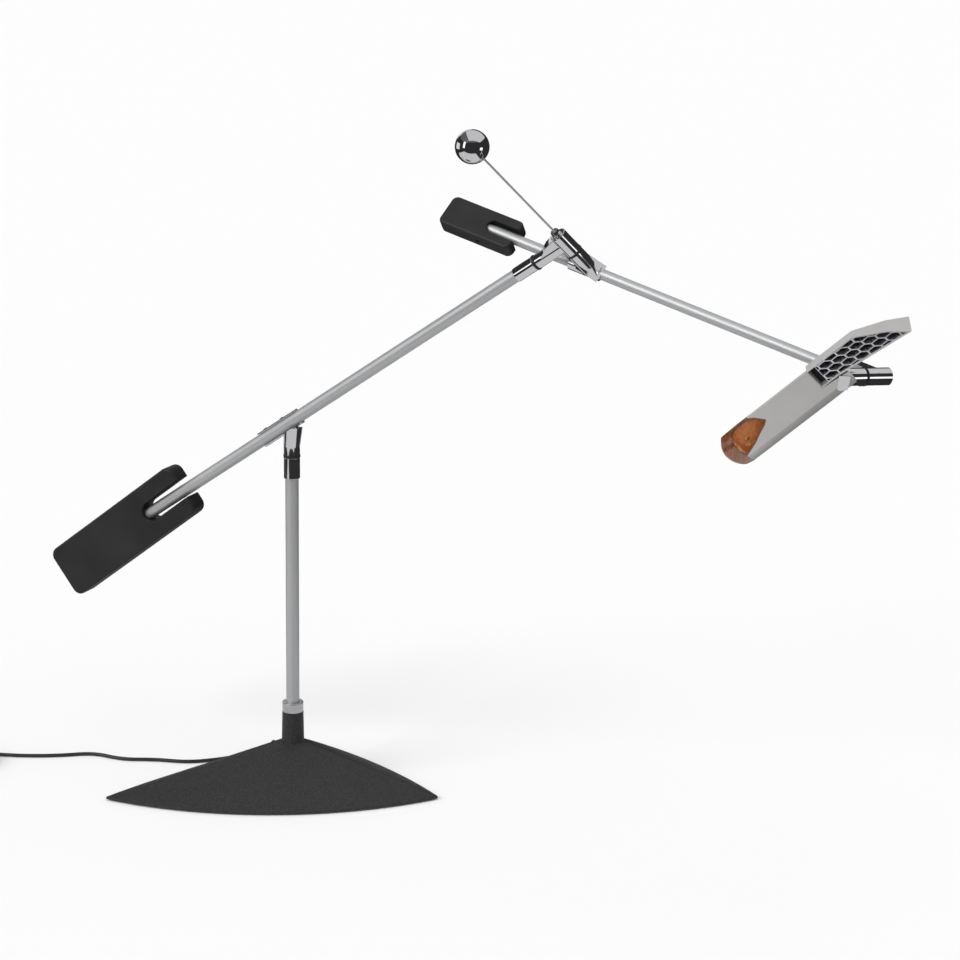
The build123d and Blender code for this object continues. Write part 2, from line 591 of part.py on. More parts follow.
with BuildPart() as upper_counterweight:
    add(bored_weight(weight(UPPER_WEIGHT_PLANE, UPPER_SLOT_END, UPPER_WEIGHT_SLOT,
                            UPPER_WEIGHT_LENGTH, UPPER_WEIGHT_WIDTH, UPPER_WEIGHT_THICKNESS,
                            UPPER_SLOT_WIDTH, 0, UPPER_WEIGHT_CORNER, WEIGHT_EDGE),
                     UPPER_WEIGHT_PLANE, UPPER_SLOT_END, UPPER_WEIGHT_SLOT, UPPER_TUBE_GRIP,
                     UPPER_TUBE_DIAMETER))
    add(rod_between(ELBOW_CROSSING + UPPER_DIR * UPPER_PIN_STATION, UPPER_WEIGHT_PLANE.y_dir,
                    UPPER_TUBE_DIAMETER / 2, UPPER_WEIGHT_WIDTH, SCREW_DIAMETER),
        mode=Mode.SUBTRACT)
finish(upper_counterweight.part, "upper_counterweight")

UPPER_PIN_LENGTH = 7.0

with BuildPart() as upper_weight_pin:
    add(rod_between(ELBOW_CROSSING + UPPER_DIR * UPPER_PIN_STATION, UPPER_WEIGHT_PLANE.y_dir,
                    UPPER_TUBE_DIAMETER / 2, UPPER_TUBE_DIAMETER / 2 + UPPER_PIN_LENGTH,
                    SCREW_DIAMETER))
finish(upper_weight_pin.part, "upper_weight_pin")

# ---------------------------------------------------------------- head saddle
HEAD_SPINDLE_BACK = LUG_FACE - 8.0
SADDLE_STOP = 2.0                     # wall that closes the sleeve over the tube's end

with BuildPart() as head_saddle:
    add(rod_between(HEAD_CROSSING, HEAD_DIR, YOKE_BACK, YOKE_FRONT, YOKE_BARREL_DIAMETER))
    add(rod_between(ELBOW_CROSSING, UPPER_DIR, UPPER_ARM_REACH - HEAD_SLEEVE_LENGTH,
                    UPPER_TUBE_FRONT + SADDLE_STOP, UPPER_SLEEVE_DIAMETER))
    with BuildSketch(YOKE_PLANE.offset(-HEAD_WEB_CHEEK)):
        with BuildLine():
            Polyline((-HEAD_SLEEVE_LENGTH, 0), (-HEAD_SLEEVE_LENGTH, -UPPER_SLEEVE_DIAMETER / 2),
                     (-YOKE_BARREL_DIAMETER * 0.95, -UPPER_SLEEVE_DIAMETER * 0.75),
                     (0, -YOKE_BARREL_DIAMETER * 0.6), (0, 0), close=True)
        make_face()
    extrude(amount=2 * HEAD_WEB_CHEEK)
    add(rod_between(ELBOW_CROSSING, UPPER_DIR, UPPER_ARM_REACH - 2 * HEAD_SLEEVE_LENGTH,
                    UPPER_TUBE_FRONT, UPPER_TUBE_DIAMETER), mode=Mode.SUBTRACT)
    add(rod_between(HEAD_CROSSING, HEAD_DIR, YOKE_BACK, HEAD_SPINDLE_BORE,
                    SMALL_SPINDLE_DIAMETER), mode=Mode.SUBTRACT)
    add(rod_between(HEAD_CROSSING, HEAD_DIR, 2 * LUG_BACK, YOKE_BACK, HEAD_RING_DIAMETER + 1),
        mode=Mode.SUBTRACT)
finish(head_saddle.part, "head_saddle")

with BuildPart() as head_spindle:
    add(rod_between(HEAD_CROSSING, HEAD_DIR, HEAD_SPINDLE_BACK, HEAD_SPINDLE_BORE,
                    SMALL_SPINDLE_DIAMETER))
finish(head_spindle.part, "head_spindle")

with BuildPart() as head_ring:
    add(ring(HEAD_CROSSING, HEAD_DIR * -1, -YOKE_BACK, HEAD_RING_THICKNESS, HEAD_RING_DIAMETER,
             SMALL_SPINDLE_DIAMETER))
finish(head_ring.part, "head_ring")

# ---------------------------------------------------------------- head
# Head frame: x towards the lamp end, y across to the arm's side, z into the head from its face.
HEAD_X = Vector(0.707, -0.2192, 0.6724).normalized()
HEAD_Y = Vector(0.704, 0.1283, -0.6985)
HEAD_Z = HEAD_X.cross(HEAD_Y).normalized()
HEAD_FROM_CROSSING = Vector(-67.8, -28.6, 8.5)
HEAD_PLANE = Plane(HEAD_CROSSING + HEAD_FROM_CROSSING, x_dir=HEAD_X, z_dir=HEAD_Z)

TUBE_RADIUS = 16.3
TUBE_CENTRE_Y = 23.5
TUBE_CENTRE_Z = 15.6
LEFT_EDGE_DEPTH = 3.4
HEAD_WALL = 2.0
TIP_FACE_CENTRE = Vector(-72.5, 17.5)  # the rounded end: an arc at the face, a larger one inside
TIP_FACE_RADIUS = 18.0
TIP_DEEP_CENTRE = Vector(-87.5, 23.5)
TIP_DEEP_RADIUS = 20.0
TIP_SLOPE_DEPTH = 15.6
HEAD_BAR_START = -115.0               # longer than the head, which its end shape cuts back
BODY_END_X = 27.0                     # where the body ends, at its face
BODY_END_RAKE = 19.0                  # how far the end leans back at full depth
CAVITY_END_X = -3.0
LED_LENGTH = 88.9
LED_STRAIGHT = 49.0
LED_CORNER = (73.8, 14.9)
LED_WAIST = (18.5, 20.4)
LED_WIDTH_NEAR = 20.3
LED_WIDTH_FAR = 28.8
LED_DEPTH_LEFT = 12.0
LED_DEPTH_RIGHT = 29.2
LED_WALL = 1.0
RECESS_DEPTH = 10.0
BOARD_THICKNESS = 1.2
GRID_RIM_GAP = 0.8
GRID_START = 8.0                      # from the recess's lower end to the grid
GRID_BORDER = 0.5
CELL_SHRINK = 0.88                    # a cell's opening, as a share of its pitch
CELL_LONG = Vector(7.0, 0)            # the three kinds of wall round a cell
CELL_SLANT = Vector(4.6, 3.35)
CELL_SHORT = Vector(-0.2, -3.4)
CELL_ORIGIN = Vector(28.1, 9.0)


FULL_DEPTH = 40.0


def head_section(inset):
    """The head's cross-section: a round tube cut by the face, with a flank out to the left."""
    radius = TUBE_RADIUS - inset
    left = Vector(inset, LEFT_EDGE_DEPTH)
    to_centre = Vector(TUBE_CENTRE_Y, TUBE_CENTRE_Z) - left
    bearing = atan2(to_centre.Y, to_centre.X) + asin(radius / to_centre.length)
    reach = sqrt(to_centre.length ** 2 - radius ** 2)
    touch = left + Vector(cos(bearing), sin(bearing)) * reach
    top = asin((TUBE_CENTRE_Z - inset) / radius)
    right = Vector(TUBE_CENTRE_Y + radius * cos(top), inset)
    far = (atan2(touch.Y - TUBE_CENTRE_Z, touch.X - TUBE_CENTRE_Y) - top) / 2
    middle = Vector(TUBE_CENTRE_Y + radius * cos(far), TUBE_CENTRE_Z + radius * sin(far))
    Polyline(touch, left, (inset, inset), right)
    ThreePointArc(right, middle, touch)


def head_bar(start, end, inset):
    """A length of the head's section."""
    plane = Plane(HEAD_PLANE.origin + HEAD_X * start, x_dir=HEAD_Y, z_dir=HEAD_X)
    with BuildPart() as bar:
        with BuildSketch(plane):
            with BuildLine():
                head_section(inset)
            make_face()
        extrude(amount=end - start)
    return bar.part


NOTCH = [(-88, 60), (-88, 27.5), (-75, 23), (-66, 18.4), (-58, 15), (-53.5, 11.5), (-60, 3.4),
         (-68.5, -2.4), (-68.5, -20), (-140, -20), (-140, 60)]


def notch(reach):
    """The bullet-nosed space that the amber tip fills, cut straight through the head."""
    with BuildPart() as space:
        with BuildSketch(HEAD_PLANE.offset(-2)):
            with BuildLine():
                Polyline(*NOTCH, close=True)
            make_face()
        extrude(amount=reach)
    return space.part


def tip_part(centre, radius, depth):
    """The tip's end at one depth: a round end that runs on towards the lamp end."""
    with BuildSketch(HEAD_PLANE.offset(depth)) as end:
        with Locations(centre):
            Circle(radius)
    return end.sketch


def tip_outline(inset):
    """What the head's rounded end keeps: it slopes out from the face and then drops straight."""
    run = 2 * LED_LENGTH
    face_radius = TIP_FACE_RADIUS - inset
    deep_radius = TIP_DEEP_RADIUS - inset
    with BuildPart() as space:
        add(tip_part(TIP_FACE_CENTRE, face_radius, -0.01))
        add(tip_part(TIP_DEEP_CENTRE, deep_radius, TIP_SLOPE_DEPTH))
        loft(ruled=True)
        with BuildSketch(HEAD_PLANE.offset(TIP_SLOPE_DEPTH)):
            with Locations(TIP_DEEP_CENTRE):
                Circle(deep_radius)
        extrude(amount=FULL_DEPTH)
        with BuildSketch(HEAD_PLANE.offset(-2)):
            with Locations((TIP_FACE_CENTRE.X + run / 2, TIP_FACE_CENTRE.Y)):
                Rectangle(run, run)
        extrude(amount=FULL_DEPTH + TIP_SLOPE_DEPTH)
        slope_side = Plane(HEAD_PLANE.origin - HEAD_Y * run / 2, x_dir=HEAD_X, z_dir=HEAD_Y)
        with BuildSketch(slope_side):
            with BuildLine():
                Polyline((TIP_FACE_CENTRE.X + 1, 0), (TIP_FACE_CENTRE.X, 0),
                         (TIP_DEEP_CENTRE.X, -TIP_SLOPE_DEPTH), (TIP_DEEP_CENTRE.X, -FULL_DEPTH),
                         (TIP_FACE_CENTRE.X + 1, -FULL_DEPTH), close=True)
            make_face()
        extrude(amount=run)
    return space.part


def led_edge():
    """The lamp end's outline: straight, then two facets to a far corner."""
    Polyline((0, 0), (LED_STRAIGHT, 0), LED_CORNER, (LED_LENGTH, LED_WIDTH_FAR), LED_WAIST,
             (0, LED_WIDTH_NEAR), close=True)


def led_slab(start, thickness, inset):
    """A slab of the lamp end's outline, drawn in by an inset, from one depth on."""
    with BuildPart() as slab:
        with BuildSketch(HEAD_PLANE.offset(start)):
            with BuildLine():
                led_edge()
            make_face()
            if inset:
                offset(amount=-inset, kind=Kind.INTERSECTION, mode=Mode.REPLACE)
        extrude(amount=thickness)
    return slab.part


with BuildPart() as led_housing:
    add(led_slab(0, LED_DEPTH_RIGHT, 0))
    with BuildSketch(Plane(HEAD_PLANE.origin - HEAD_X * 10, x_dir=HEAD_Y, z_dir=HEAD_X)):
        with BuildLine():
            Polyline((0, LED_DEPTH_LEFT), (LED_WIDTH_FAR, LED_DEPTH_RIGHT),
                     (LED_WIDTH_FAR, FULL_DEPTH), (-5, FULL_DEPTH), (-5, LED_DEPTH_LEFT),
                     close=True)
        make_face()
    extrude(amount=LED_LENGTH + 20, mode=Mode.SUBTRACT)
    add(led_slab(0, RECESS_DEPTH, LED_WALL), mode=Mode.SUBTRACT)
finish(led_housing.part, "led_housing")

with BuildPart() as head_body:
    add(head_bar(HEAD_BAR_START, BODY_END_X, 0))
    add(notch(FULL_DEPTH + 10), mode=Mode.SUBTRACT)
    add(head_bar(HEAD_BAR_START, CAVITY_END_X, HEAD_WALL), mode=Mode.SUBTRACT)
    with BuildSketch(HEAD_PLANE.offset(-2)):
        with BuildLine():
            Polyline((0, -20), (0, LED_WIDTH_NEAR), (LED_LENGTH, LED_WIDTH_FAR), (LED_LENGTH, -20),
                     close=True)
        make_face()
    extrude(amount=FULL_DEPTH, mode=Mode.SUBTRACT)
    with BuildSketch(Plane(HEAD_PLANE.origin - HEAD_Y * 20, x_dir=HEAD_X, z_dir=HEAD_Y)):
        with BuildLine():
            Polyline((BODY_END_X, 2), (BODY_END_X + 60, 2), (BODY_END_X + 60, -FULL_DEPTH),
                     (BODY_END_X - BODY_END_RAKE, -FULL_DEPTH), (BODY_END_X, -0.5), close=True)
        make_face()
    extrude(amount=100, mode=Mode.SUBTRACT)
finish(head_body.part, "head_body")

# the lug's inner end is a block with a flat facet, a little proud of the head's face
LUG_FACET = [(9.3, 28.7), (9.8, 31.4), (15.4, 35.2), (25.3, 27.3), (18.7, 20.3)]
LUG_PROUD = 1.0
LUG_BLOCK_DEPTH = 18.0

with BuildPart() as head_lug:
    add(rod_between(HEAD_CROSSING, HEAD_DIR, LUG_BACK, LUG_FACE, LUG_DIAMETER))
    with BuildSketch(HEAD_PLANE.offset(-LUG_PROUD)):
        with BuildLine():
            Polyline(*LUG_FACET, close=True)
        make_face()
    extrude(amount=LUG_BLOCK_DEPTH)
    add(head_body.part, mode=Mode.SUBTRACT)
    add(led_housing.part, mode=Mode.SUBTRACT)
    add(rod_between(HEAD_CROSSING, HEAD_DIR, HEAD_SPINDLE_BACK - 1, LUG_FACE,
                    SMALL_SPINDLE_DIAMETER + 2 * RUN_GAP), mode=Mode.SUBTRACT)
finish(head_lug.part, "head_lug")

with BuildPart() as led_board:
    add(led_slab(RECESS_DEPTH - BOARD_THICKNESS, BOARD_THICKNESS, LED_WALL + SEAT_GAP))
finish(led_board.part, "led_board")

# the cells repeat by two steps, each made of two of a cell's walls
CELL_STEP = CELL_LONG + CELL_SHORT
CELL_CROSS_STEP = CELL_SLANT - CELL_SHORT
CELL_CORNERS = [
    (CELL_SLANT - CELL_SHORT - CELL_LONG) / 2,
    (CELL_SLANT - CELL_SHORT + CELL_LONG) / 2,
    (CELL_SLANT + CELL_SHORT + CELL_LONG) / 2,
]
CELL_CORNERS += [corner * -1 for corner in CELL_CORNERS]
CELL_CENTRES = [
    CELL_ORIGIN + CELL_STEP * along + CELL_CROSS_STEP * across
    for along in range(-6, 10)
    for across in range(-6, 8)
]
GRID_DEPTH = RECESS_DEPTH - BOARD_THICKNESS - GRID_RIM_GAP


def grid_slab(inset):
    """The grid's outline, as deep as the recess."""
    with BuildPart() as slab:
        add(led_slab(GRID_RIM_GAP, GRID_DEPTH, LED_WALL + SEAT_GAP + inset))
        with BuildSketch(HEAD_PLANE.offset(-1)):
            with Locations((GRID_START + inset - LED_LENGTH / 2, LED_WIDTH_NEAR / 2)):
                Rectangle(LED_LENGTH, LED_LENGTH)
        extrude(amount=FULL_DEPTH, mode=Mode.SUBTRACT)
    return slab.part


with BuildPart() as cells:
    with BuildSketch(HEAD_PLANE):
        for centre in CELL_CENTRES:
            inside = 0 < centre.X < LED_LENGTH + CELL_LONG.X and -4 < centre.Y < LED_WIDTH_FAR + 4
            if inside:
                with BuildLine():
                    Polyline(*[centre + corner * CELL_SHRINK for corner in CELL_CORNERS],
                             close=True)
                make_face()
    extrude(amount=RECESS_DEPTH)
    add(grid_slab(GRID_BORDER), mode=Mode.INTERSECT)

with BuildPart() as reflector_grid:
    add(grid_slab(0))
    add(cells.part, mode=Mode.SUBTRACT)
finish(reflector_grid.part, "reflector_grid")

LED_SITES = [(-2, 0), (-1, 0), (0, 0), (0, 1), (1, 1), (2, 1), (2, 2), (3, 2)]
LED_SIDE = 2.4
LED_HEIGHT = 0.8

with BuildPart() as leds:
    with BuildSketch(HEAD_PLANE.offset(RECESS_DEPTH - BOARD_THICKNESS - LED_HEIGHT)):
        for along, across in LED_SITES:
            with Locations(CELL_ORIGIN + CELL_STEP * along + CELL_CROSS_STEP * across):
                Rectangle(LED_SIDE, LED_SIDE)
    extrude(amount=LED_HEIGHT)
finish(leds.part, "leds")

TIP_WALL = 1.8
OPENING = [(-84, 3.0), (-89.5, 11.7), (-91.0, 20.3), (-88.6, 26.4), (-75.0, 21.2), (-67.0, 17.0),
           (-59.0, 13.6), (-56.0, 11.3), (-61.0, 5.6), (-68.0, 1.8), (-76.0, 1.8)]

with BuildPart() as amber_tip:
    add(head_bar(HEAD_BAR_START, -50, 0))
    add(notch(FULL_DEPTH + 10), mode=Mode.INTERSECT)
    add(tip_outline(0), mode=Mode.INTERSECT)
    with BuildPart(mode=Mode.SUBTRACT):
        add(head_bar(HEAD_BAR_START, -50, TIP_WALL))
        add(tip_outline(TIP_WALL), mode=Mode.INTERSECT)
    with BuildSketch(HEAD_PLANE.offset(-1)):
        with BuildLine():
            Polyline(*OPENING, close=True)
        make_face()
    extrude(amount=TIP_WALL + 2, mode=Mode.SUBTRACT)
finish(amber_tip.part, "amber_tip")

PLATE_DEPTH = 9.0
PLATE_THICKNESS = 1.6
PLATE_HOLE = 4.3
PLATE_HOLES = [(-80.7, 19.0), (-84.0, 23.5)]
with BuildPart() as control_plate:
    with BuildSketch(HEAD_PLANE.offset(PLATE_DEPTH)):
        with Locations((-72, 22)):
            Rectangle(36, 40)
        with Locations(*PLATE_HOLES):
            Circle(PLATE_HOLE / 2, mode=Mode.SUBTRACT)
    extrude(amount=PLATE_THICKNESS)
    with BuildPart(mode=Mode.INTERSECT):
        add(head_bar(HEAD_BAR_START, -40, HEAD_WALL + SEAT_GAP))
        add(tip_outline(TIP_WALL + SEAT_GAP), mode=Mode.INTERSECT)
finish(control_plate.part, "control_plate")


# ---------------------------------------------------------------- cord, coil and plug
CORD_HEIGHT = CORD_DIAMETER / 2 + 0.05
CORD_POINTS = [
    GLAND_INSIDE,
    GLAND_INSIDE + GLAND_DIR * CORD_FIRST_RUN,
    Vector(-61, 76, CORD_HEIGHT),
    Vector(-80, 50, CORD_HEIGHT),
    Vector(-110, 40.5, CORD_HEIGHT),
    Vector(-144, 47, CORD_HEIGHT),
    Vector(-178, 45, CORD_HEIGHT),
    Vector(-209, 61.5, CORD_HEIGHT),
    Vector(-241, 53, CORD_HEIGHT),
    Vector(-277, 50, CORD_HEIGHT),
    Vector(-313, 53.5, CORD_HEIGHT),
    Vector(-346, 50.5, CORD_HEIGHT),
]


def rounded_route(points):
    """Straight runs joined by arcs as large as the runs allow; returns the radii."""
    radii = []
    start = points[0]
    for before, corner, after in zip(points, points[1:], points[2:]):
        towards = (before - corner).normalized()
        onwards = (after - corner).normalized()
        half_turn = (pi - acos(max(-1, min(1, towards.dot(onwards))))) / 2
        cut = 0.45 * min((before - corner).length, (after - corner).length)
        radius = cut / tan(half_turn)
        inward = (towards + onwards).normalized()
        middle = corner + inward * (radius / cos(half_turn) - radius)
        Line(start, corner + towards * cut)
        ThreePointArc(corner + towards * cut, middle, corner + onwards * cut)
        start = corner + onwards * cut
        radii.append(round(radius))
    Line(start, points[-1])
    return radii


def tube_along(path, diameter):
    """A round tube along a wire."""
    with BuildPart() as tube:
        with BuildSketch(Plane(path @ 0, z_dir=path % 0)):
            Circle(diameter / 2)
        sweep(path=path)
    return tube.part


with BuildLine() as cord_line:
    cord_radii = rounded_route(CORD_POINTS)

CORD_PATH = cord_line.wires()[0]
CORD_SECTION = pi * CORD_DIAMETER ** 2 / 4

with BuildPart() as power_cord:
    add(tube_along(CORD_PATH, CORD_DIAMETER))
finish(power_cord.part, "power_cord")
print("cord radii", cord_radii, "length", round(CORD_PATH.length),
      "volume share", round(power_cord.part.volume / CORD_SECTION / CORD_PATH.length, 4))

COIL_PITCH = CORD_DIAMETER + CORD_GAP
COIL_STEP = COIL_PITCH / 2
COIL_OUTER = COIL_MIDDLE_RADIUS + COIL_STEP * COIL_TURNS_ACROSS
COIL_HEADING = (CORD_POINTS[-1] - CORD_POINTS[-2]).normalized()
COIL_ACROSS = COIL_HEADING.cross(UP)
COIL_CENTRE = CORD_POINTS[-1] - COIL_ACROSS * COIL_OUTER


def coil_points():
    """The ends of the coil's half turns: layers wound inwards and outwards by turns.

    A layer's first and last half turns step by a whole pitch, so that the half turn that climbs
    to the next layer stays clear of the turns beside it.
    """
    places = []
    radius = COIL_OUTER
    halves = 2 * COIL_TURNS_ACROSS
    for layer in range(COIL_LAYERS):
        way = -COIL_STEP if layer % 2 == 0 else COIL_STEP
        for half in range(halves):
            side = 1 if half % 2 == 0 else -1
            places.append(COIL_CENTRE + COIL_ACROSS * radius * side + UP * layer * COIL_PITCH)
            wide = half == halves - 2 or (half == 0 and layer > 0)
            radius += way * (2 if wide else 1)
    places.append(COIL_CENTRE + COIL_ACROSS * radius + UP * (COIL_LAYERS - 1) * COIL_PITCH)
    return places


COIL_ENDS = coil_points()
coil_samples = []
with BuildLine() as coil_line:
    for index, (start, end) in enumerate(zip(COIL_ENDS, COIL_ENDS[1:])):
        ahead = COIL_HEADING * (1 if index % 2 == 0 else -1)
        radius = (end - start).length / 2
        half = ThreePointArc(start, (start + end) / 2 + ahead * radius, end)
        coil_samples += [half @ (step / 24) for step in range(24)]
    TAIL_LEVEL = 14.0
    TAIL_RADIUS = 50.0
    tail = Line(COIL_ENDS[-1], COIL_ENDS[-1] + COIL_HEADING * TAIL_LEVEL)
    PLUG_HEIGHT = 7.2
    drop = (tail @ 1).Z - PLUG_HEIGHT
    lean = acos(1 - drop / 2 / TAIL_RADIUS)
    down_middle = (tail @ 1) + COIL_HEADING * (TAIL_RADIUS * sin(lean / 2)) \
        - UP * (TAIL_RADIUS * (1 - cos(lean / 2)))
    down_end = (tail @ 1) + COIL_HEADING * (TAIL_RADIUS * sin(lean)) - UP * (drop / 2)
    ThreePointArc(tail @ 1, down_middle, down_end)
    tail_end = (tail @ 1) + COIL_HEADING * (2 * TAIL_RADIUS * sin(lean)) - UP * drop
    up_middle = tail_end - COIL_HEADING * (TAIL_RADIUS * sin(lean / 2)) \
        + UP * (TAIL_RADIUS * (1 - cos(lean / 2)))
    ThreePointArc(down_end, up_middle, tail_end)

least = min(
    (one - other).length
    for place, one in enumerate(coil_samples)
    for other in coil_samples[place + 14:]
)
COIL_PATH = coil_line.wires()[0]

with BuildPart() as cord_coil:
    add(tube_along(COIL_PATH, CORD_DIAMETER))
finish(cord_coil.part, "cord_coil")
print("coil length", round(COIL_PATH.length), "least gap", round(least - CORD_DIAMETER, 2),
      "volume share", round(cord_coil.part.volume / CORD_SECTION / COIL_PATH.length, 4))

with BuildPart() as cord_gland:
    add(rod_between(GLAND_INSIDE, GLAND_DIR, 0, GLAND_LENGTH, GLAND_DIAMETER, CORD_DIAMETER))
finish(cord_gland.part, "cord_gland")

PLUG_START = tail_end
PLUG_NECK_LENGTH = 16.0
PLUG_LENGTH = 22.0
PLUG_WIDTH = 34.0
PLUG_THICKNESS = 13.6
PIN_DIAMETER = 4.0
PIN_SPACING = 18.6
PLUG_PIN_LENGTH = 19.0

with BuildPart() as plug:
    neck_plane = Plane(PLUG_START, x_dir=COIL_ACROSS, z_dir=COIL_HEADING)
    with BuildSketch(neck_plane):
        Circle(CORD_DIAMETER / 2 + 1)
    with BuildSketch(neck_plane.offset(PLUG_NECK_LENGTH)):
        Circle(CORD_DIAMETER / 2 + 2.6)
    loft(ruled=True)
    with BuildSketch(neck_plane.offset(PLUG_NECK_LENGTH)):
        RectangleRounded(PLUG_WIDTH * 0.6, PLUG_THICKNESS * 0.9, 4)
    with BuildSketch(neck_plane.offset(PLUG_NECK_LENGTH + PLUG_LENGTH)):
        RectangleRounded(PLUG_WIDTH, PLUG_THICKNESS, 4)
    loft(ruled=True)
    with BuildSketch(neck_plane.offset(PLUG_NECK_LENGTH + PLUG_LENGTH)):
        with Locations((-PIN_SPACING / 2, 0), (PIN_SPACING / 2, 0)):
            Circle(PIN_DIAMETER / 2)
    extrude(amount=PLUG_PIN_LENGTH)
finish(plug.part, "plug")
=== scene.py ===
# %% [markdown]
# # A balance lamp with two weighted arms
#
# The solids of the lamp come from CAD and are already packed with their joints. This lesson gives them
# their looks: edges that catch the light, a finish for every surface, the free lead, a floor and light.
# The solids are never moved or resized, because they are what the lamp really measures. Where a real
# piece shows a finer shape than its solid, a new piece is drawn and shown in the solid's place.

import json
from math import acos, cos, pi, radians, sin

import bmesh
import bpy
from mathutils import Matrix, Vector


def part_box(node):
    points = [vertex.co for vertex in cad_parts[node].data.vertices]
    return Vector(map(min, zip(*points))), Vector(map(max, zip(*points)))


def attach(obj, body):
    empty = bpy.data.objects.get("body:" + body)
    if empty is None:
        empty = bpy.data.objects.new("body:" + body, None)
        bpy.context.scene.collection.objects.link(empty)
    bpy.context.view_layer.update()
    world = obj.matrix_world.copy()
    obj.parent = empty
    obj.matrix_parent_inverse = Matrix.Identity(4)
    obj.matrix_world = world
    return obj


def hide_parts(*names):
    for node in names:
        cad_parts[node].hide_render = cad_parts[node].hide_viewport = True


UP = Vector((0, 0, 1))

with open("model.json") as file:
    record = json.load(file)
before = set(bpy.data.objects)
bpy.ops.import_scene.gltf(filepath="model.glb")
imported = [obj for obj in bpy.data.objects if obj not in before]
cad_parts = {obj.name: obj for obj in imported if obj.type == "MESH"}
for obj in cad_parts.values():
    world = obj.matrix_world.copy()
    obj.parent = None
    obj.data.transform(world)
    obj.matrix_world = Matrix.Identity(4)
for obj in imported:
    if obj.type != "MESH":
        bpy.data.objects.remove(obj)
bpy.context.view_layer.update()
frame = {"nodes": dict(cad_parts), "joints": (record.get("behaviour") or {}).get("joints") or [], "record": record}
scene = bpy.context.scene
nodes = frame["nodes"]
joints = {joint["name"]: joint for joint in frame["joints"]}
bodies = frame["record"]["behaviour"]["bodies"]
body_of_node = {node: body for body, members in bodies.items() for node in members}

# %% [markdown]
# ## The camera
#
# The lamp was photographed from its front, a little above, with a long lens: parallel edges hardly
# converge. A camera is described best by the pixel where one known point appears and by how many pixels
# a metre there covers. From those two and the downward tilt, its place follows.

# %% What the picture tells
PICTURE_WIDTH = 960                    # pixels, square
ORIGIN_PIXEL = (293.2, 781.0)          # where the lamp's origin appears
PIXELS_PER_METRE = 1000.0              # at the origin
FOCAL_PIXELS = 2350.0
CAMERA_TILT = radians(15.0)            # downwards
CAMERA_ROLL = radians(1.0)

# %% Work out where the camera stands
forward = Vector((0, cos(CAMERA_TILT), -sin(CAMERA_TILT)))
level_up = Vector((0, sin(CAMERA_TILT), cos(CAMERA_TILT)))
camera_right = Vector((cos(CAMERA_ROLL), 0, 0)) + level_up * sin(CAMERA_ROLL)
camera_up = level_up * cos(CAMERA_ROLL) - Vector((sin(CAMERA_ROLL), 0, 0))

distance = FOCAL_PIXELS / PIXELS_PER_METRE
off_right = (ORIGIN_PIXEL[0] - PICTURE_WIDTH / 2) / PIXELS_PER_METRE
off_up = (PICTURE_WIDTH / 2 - ORIGIN_PIXEL[1]) / PIXELS_PER_METRE
camera_place = -forward * distance - camera_right * off_right - camera_up * off_up
print("camera at", [round(x, 3) for x in camera_place])

# %% Set the camera up
SENSOR_WIDTH = 36.0                    # millimetres
FARTHEST_SEEN = 200.0                  # metres


def axes_at(x_axis, y_axis, z_axis, place):
    """The matrix that carries what is drawn at the origin to a place, along three directions."""
    axes = Matrix((x_axis, y_axis, z_axis)).transposed().to_4x4()
    axes.translation = place
    return axes


camera_data = bpy.data.cameras.new("Camera")
camera_data.sensor_width = SENSOR_WIDTH
camera_data.lens = FOCAL_PIXELS / PICTURE_WIDTH * SENSOR_WIDTH
camera_data.clip_end = FARTHEST_SEEN
camera = bpy.data.objects.new("Camera", camera_data)
camera.matrix_world = axes_at(camera_right, camera_up, -forward, camera_place)
scene.collection.objects.link(camera)
scene.camera = camera
scene.view_settings.view_transform = "Standard"
print("lens", round(camera_data.lens, 1), "mm")

# %% [markdown]
# ## Material helpers
#
# Every finish starts from one Principled shader. Fine detail, such as the grain of a powder coat, comes
# from noise on Object coordinates, which are metres here: a scale of 2000 makes grains of half a
# millimetre. Photographs of real surfaces would do too, but a pattern made by nodes has no seams and
# stays sharp however near the camera comes. The pattern varies the colour and the roughness, and it
# bends the surface through a Bump node.

# %% Start a material
def shader_of(material):
    return material.node_tree.nodes["Principled BSDF"]


def start_material(name, color, roughness, metallic=0.0, specular=0.5):
    """A material with one Principled shader."""
    material = bpy.data.materials.new(name)
    material.use_nodes = True
    shader = shader_of(material)
    shader.inputs["Base Color"].default_value = (*color, 1)
    shader.inputs["Roughness"].default_value = roughness
    shader.inputs["Metallic"].default_value = metallic
    shader.inputs["Specular IOR Level"].default_value = specular
    return material


# %% A pattern of noise
def noise(material, scale=1.0, detail=3.0, roughness=0.5, size=(1, 1, 1), turn=(0, 0, 0)):
    """A noise texture's value between 0 and 1, with its grains stretched to a size and turned."""
    tree = material.node_tree
    coordinates = tree.nodes.new("ShaderNodeTexCoord")
    mapping = tree.nodes.new("ShaderNodeMapping")
    mapping.vector_type = "TEXTURE"
    mapping.inputs["Scale"].default_value = size
    mapping.inputs["Rotation"].default_value = turn
    tree.links.new(coordinates.outputs["Object"], mapping.inputs["Vector"])
    texture = tree.nodes.new("ShaderNodeTexNoise")
    texture.inputs["Scale"].default_value = scale
    texture.inputs["Detail"].default_value = detail
    texture.inputs["Roughness"].default_value = roughness
    tree.links.new(mapping.outputs["Vector"], texture.inputs["Vector"])
    return texture.outputs["Fac"]


# %% What a pattern does to a finish
NOISE_LOW, NOISE_HIGH = 0.3, 0.7       # nearly all of a noise lies between these values


